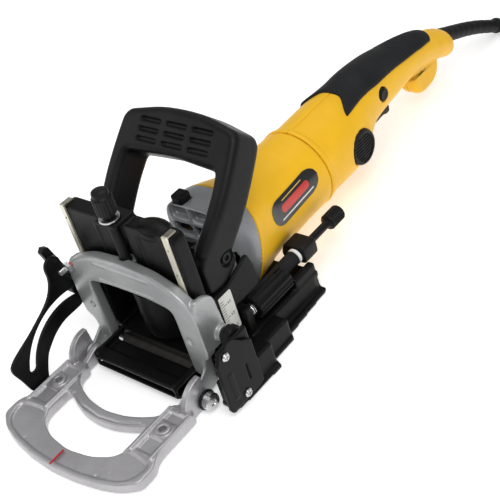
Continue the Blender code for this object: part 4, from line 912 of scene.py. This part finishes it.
for side, tag in ((-1, "left"), (1, "right")):
    length = 60.5 if side < 0 else 60.2
    shapes = [rod((side * 45.3, HINGE_Y, HINGE_Z), (side * length, HINGE_Y, HINGE_Z), 3.0, 48)]
    if side > 0:
        shapes = [turned([(0, 45.3), (3, 45.3), (3, 58.8), (5.9, 58.8), (6.4, 59.3), (6.4, 65.3), (5.7, 66),
                          (2.6, 66),
                          (2.2, 65.2), (0, 65.2)], (0, HINGE_Y, HINGE_Z), (1, 0, 0), 64)]
    piece("hinge_rod_" + tag, shapes, "arch", STEEL, ["hinge_pin_" + tag])
piece("hinge_washer", [turned([(6.5, 58.9), (7.1, 58.9), (7.4, 59.3), (7.4, 60.3), (7.1, 60.7), (6.5, 60.7)],
                              (0, HINGE_Y, HINGE_Z),
                              (1, 0, 0), 64)], "arch", BLACK)
screw = [(0, 0), (2.1, 0), (2.1, 4.2)]
for i in range(9):
    screw += [(1.75, 4.6 + 0.62 * i), (2.1, 4.9 + 0.62 * i)]
screw += [(2.1, 12.6), (0, 12.6)]
piece("fold_stop", [turned(screw, (-56, 11.4, 78), (0, 1, 0), 36),
                    rod((-56, 16.9, 78), (-56, 20.1, 78), 4.4, 6)], "arch", STEEL,
      ["stop_screw"])


# ---- knobs -------------------------------------------------------------------------------
height_knob = [(0, 151), (4.4, 151), (5.4, 150.4), (5.8, 149.2), (5.8, 147.2), (6.6, 146.4), (7.2, 145.6)]
height_knob += [(7.2, 145.4 - 0.6 * i) for i in range(19)] + [(6.8, 133.6), (6, 132.8), (4, 132.4),
                                                              (4, 130.3), (3.7, 130.2),
                                                             (3.7, 70), (0, 70)]
piece("height_knob", [turned(height_knob, (0, 30, 0), (0, 0, 1), 120, (134.2, 145.7, 20, 0.45))],
      "height_screw", BLACK,
      ["height_screw"])
piece("height_washer", [turned([(4.2, 128.3), (7.2, 128.3), (7.4, 128.8), (7.4, 129.4), (7.2, 129.9),
                                (4.2, 129.9)], (0, 30, 0),
                               (0, 0, 1), 56)], "height_screw", STEEL)
lock_knob = [(0, 10), (5.4, 10), (6.8, 9.6), (7.7, 8.6)] + [(8, 8 - 0.5 * i) for i in range(11)]
lock_knob += [(6.6, 1.8), (5, 1.2), (5, 0), (0, 0)]
shape = turned(lock_knob, (64.9, LOCK_KNOB_Y, LOCK_KNOB_Z), (1, 0, 0), 120, (2.9, 8.1, 10, 0.8))
piece("bracket_lock_knob", [shape], "height_lock", BLACK, ["height_lock_knob"])


# ---- depth turret ------------------------------------------------------------------------
TURRET = (52.5, 29.5)
STEP_RADIUS = math.hypot(STOP_X - TURRET[0], STOP_Z - TURRET[1])
STEP_ANGLE = math.atan2(STOP_Z - TURRET[1], STOP_X - TURRET[0])
flute = []
for i in range(14):
    for offset, r in ((-0.3, 8.3), (-0.2, 9.2), (0, 9.5), (0.2, 9.2), (0.3, 8.3), (0.5, 8.1)):
        a = 2 * math.pi * (i + offset) / 14
        flute.append((TURRET[0] + r * math.cos(a), TURRET[1] + r * math.sin(a)))
drum_cuts = []
for step in range(1, 4):
    a = STEP_ANGLE + math.pi / 2 * step
    x, z = TURRET[0] + STEP_RADIUS * math.cos(a), TURRET[1] + STEP_RADIUS * math.sin(a)
    drum_cuts.append(rod((x, 112 - 2.4 * step, z), (x, 113, z), 3.5, 32))
piece("turret_drum", [extruded([flute, arc(*TURRET, 2.95, 0, 350, 36)], 76.2, 112, "XZ", 0.3)], "turret",
      BLACK,
      ["depth_turret"], cuts=drum_cuts)


# ---- carried-over parts ------------------------------------------------------------------
CARRIED = {
    STEEL: ("turret_axle", "spindle_top_bearing", "spindle_low_bearing", "front_bearing", "rear_bearing",
            "motor_shaft",
            "bevel_pinion", "spindle", "bevel_gear", "clamp_nut"),
    SPRING: ("turret_spring", "return_spring_left", "return_spring_right"),
    # The saw blade takes the darkened steel, which is painted shade.
    SHADED_BLADE: ("saw_blade",),
    DEEP_BLACK: ("carriage_plate", "cooling_fan"),
    LAMINATION: ("stator", "armature_core"),
    COPPER: ("commutator",),
    CARBON: ("carbon_brush_left", "carbon_brush_right"),
}
for look, names in CARRIED.items():
    for name in names:
        NODES[name].data.materials.clear()
        NODES[name].data.materials.append(look)


# ---- floor and light ---------------------------------------------------------------------
floor_mesh = bpy.data.meshes.new("floor")
floor_mesh.from_pydata([(-6, -6, 0), (6, -6, 0), (6, 6, 0), (-6, 6, 0)], [], [(0, 1, 2, 3)])
floor = bpy.data.objects.new("floor", floor_mesh)
bpy.context.scene.collection.objects.link(floor)
floor.location.z = -0.0004
paper = finish("floor_paper", (0.9, 0.9, 0.9), 0.8, grain=60, bump=0.0, vary=0.005)
paper.node_tree.nodes["Principled BSDF"].inputs["Emission Color"].default_value = (1, 1, 1, 1)
paper.node_tree.nodes["Principled BSDF"].inputs["Emission Strength"].default_value = 0.42
floor_mesh.materials.append(paper)

world = bpy.data.worlds.new("studio")
world.use_nodes = True
world.node_tree.nodes["Background"].inputs["Color"].default_value = (1.0, 1.0, 1.0, 1)
world.node_tree.nodes["Background"].inputs["Strength"].default_value = 0.32
bpy.context.scene.world = world
bpy.context.scene.view_settings.view_transform = "Standard"


def soft_light(name, place, aim, size, power):
    data = bpy.data.lights.new(name, "AREA")
    data.shape = "RECTANGLE"
    data.size, data.size_y = size
    data.energy = power
    light = bpy.data.objects.new(name, data)
    bpy.context.scene.collection.objects.link(light)
    light.location = place
    light.rotation_euler = (Vector(aim) - Vector(place)).to_track_quat("-Z", "Y").to_euler()


soft_light("key", (0.7, -0.5, 1.3), (0, 0, 0.05), (0.9, 0.9), 10.5)
soft_light("fill", (-0.9, -0.9, 0.8), (0, -0.1, 0.05), (1.0, 0.8), 3)
soft_light("top", (-0.1, 0.4, 1.5), (0, 0.05, 0.05), (1.2, 0.7), 5.6)
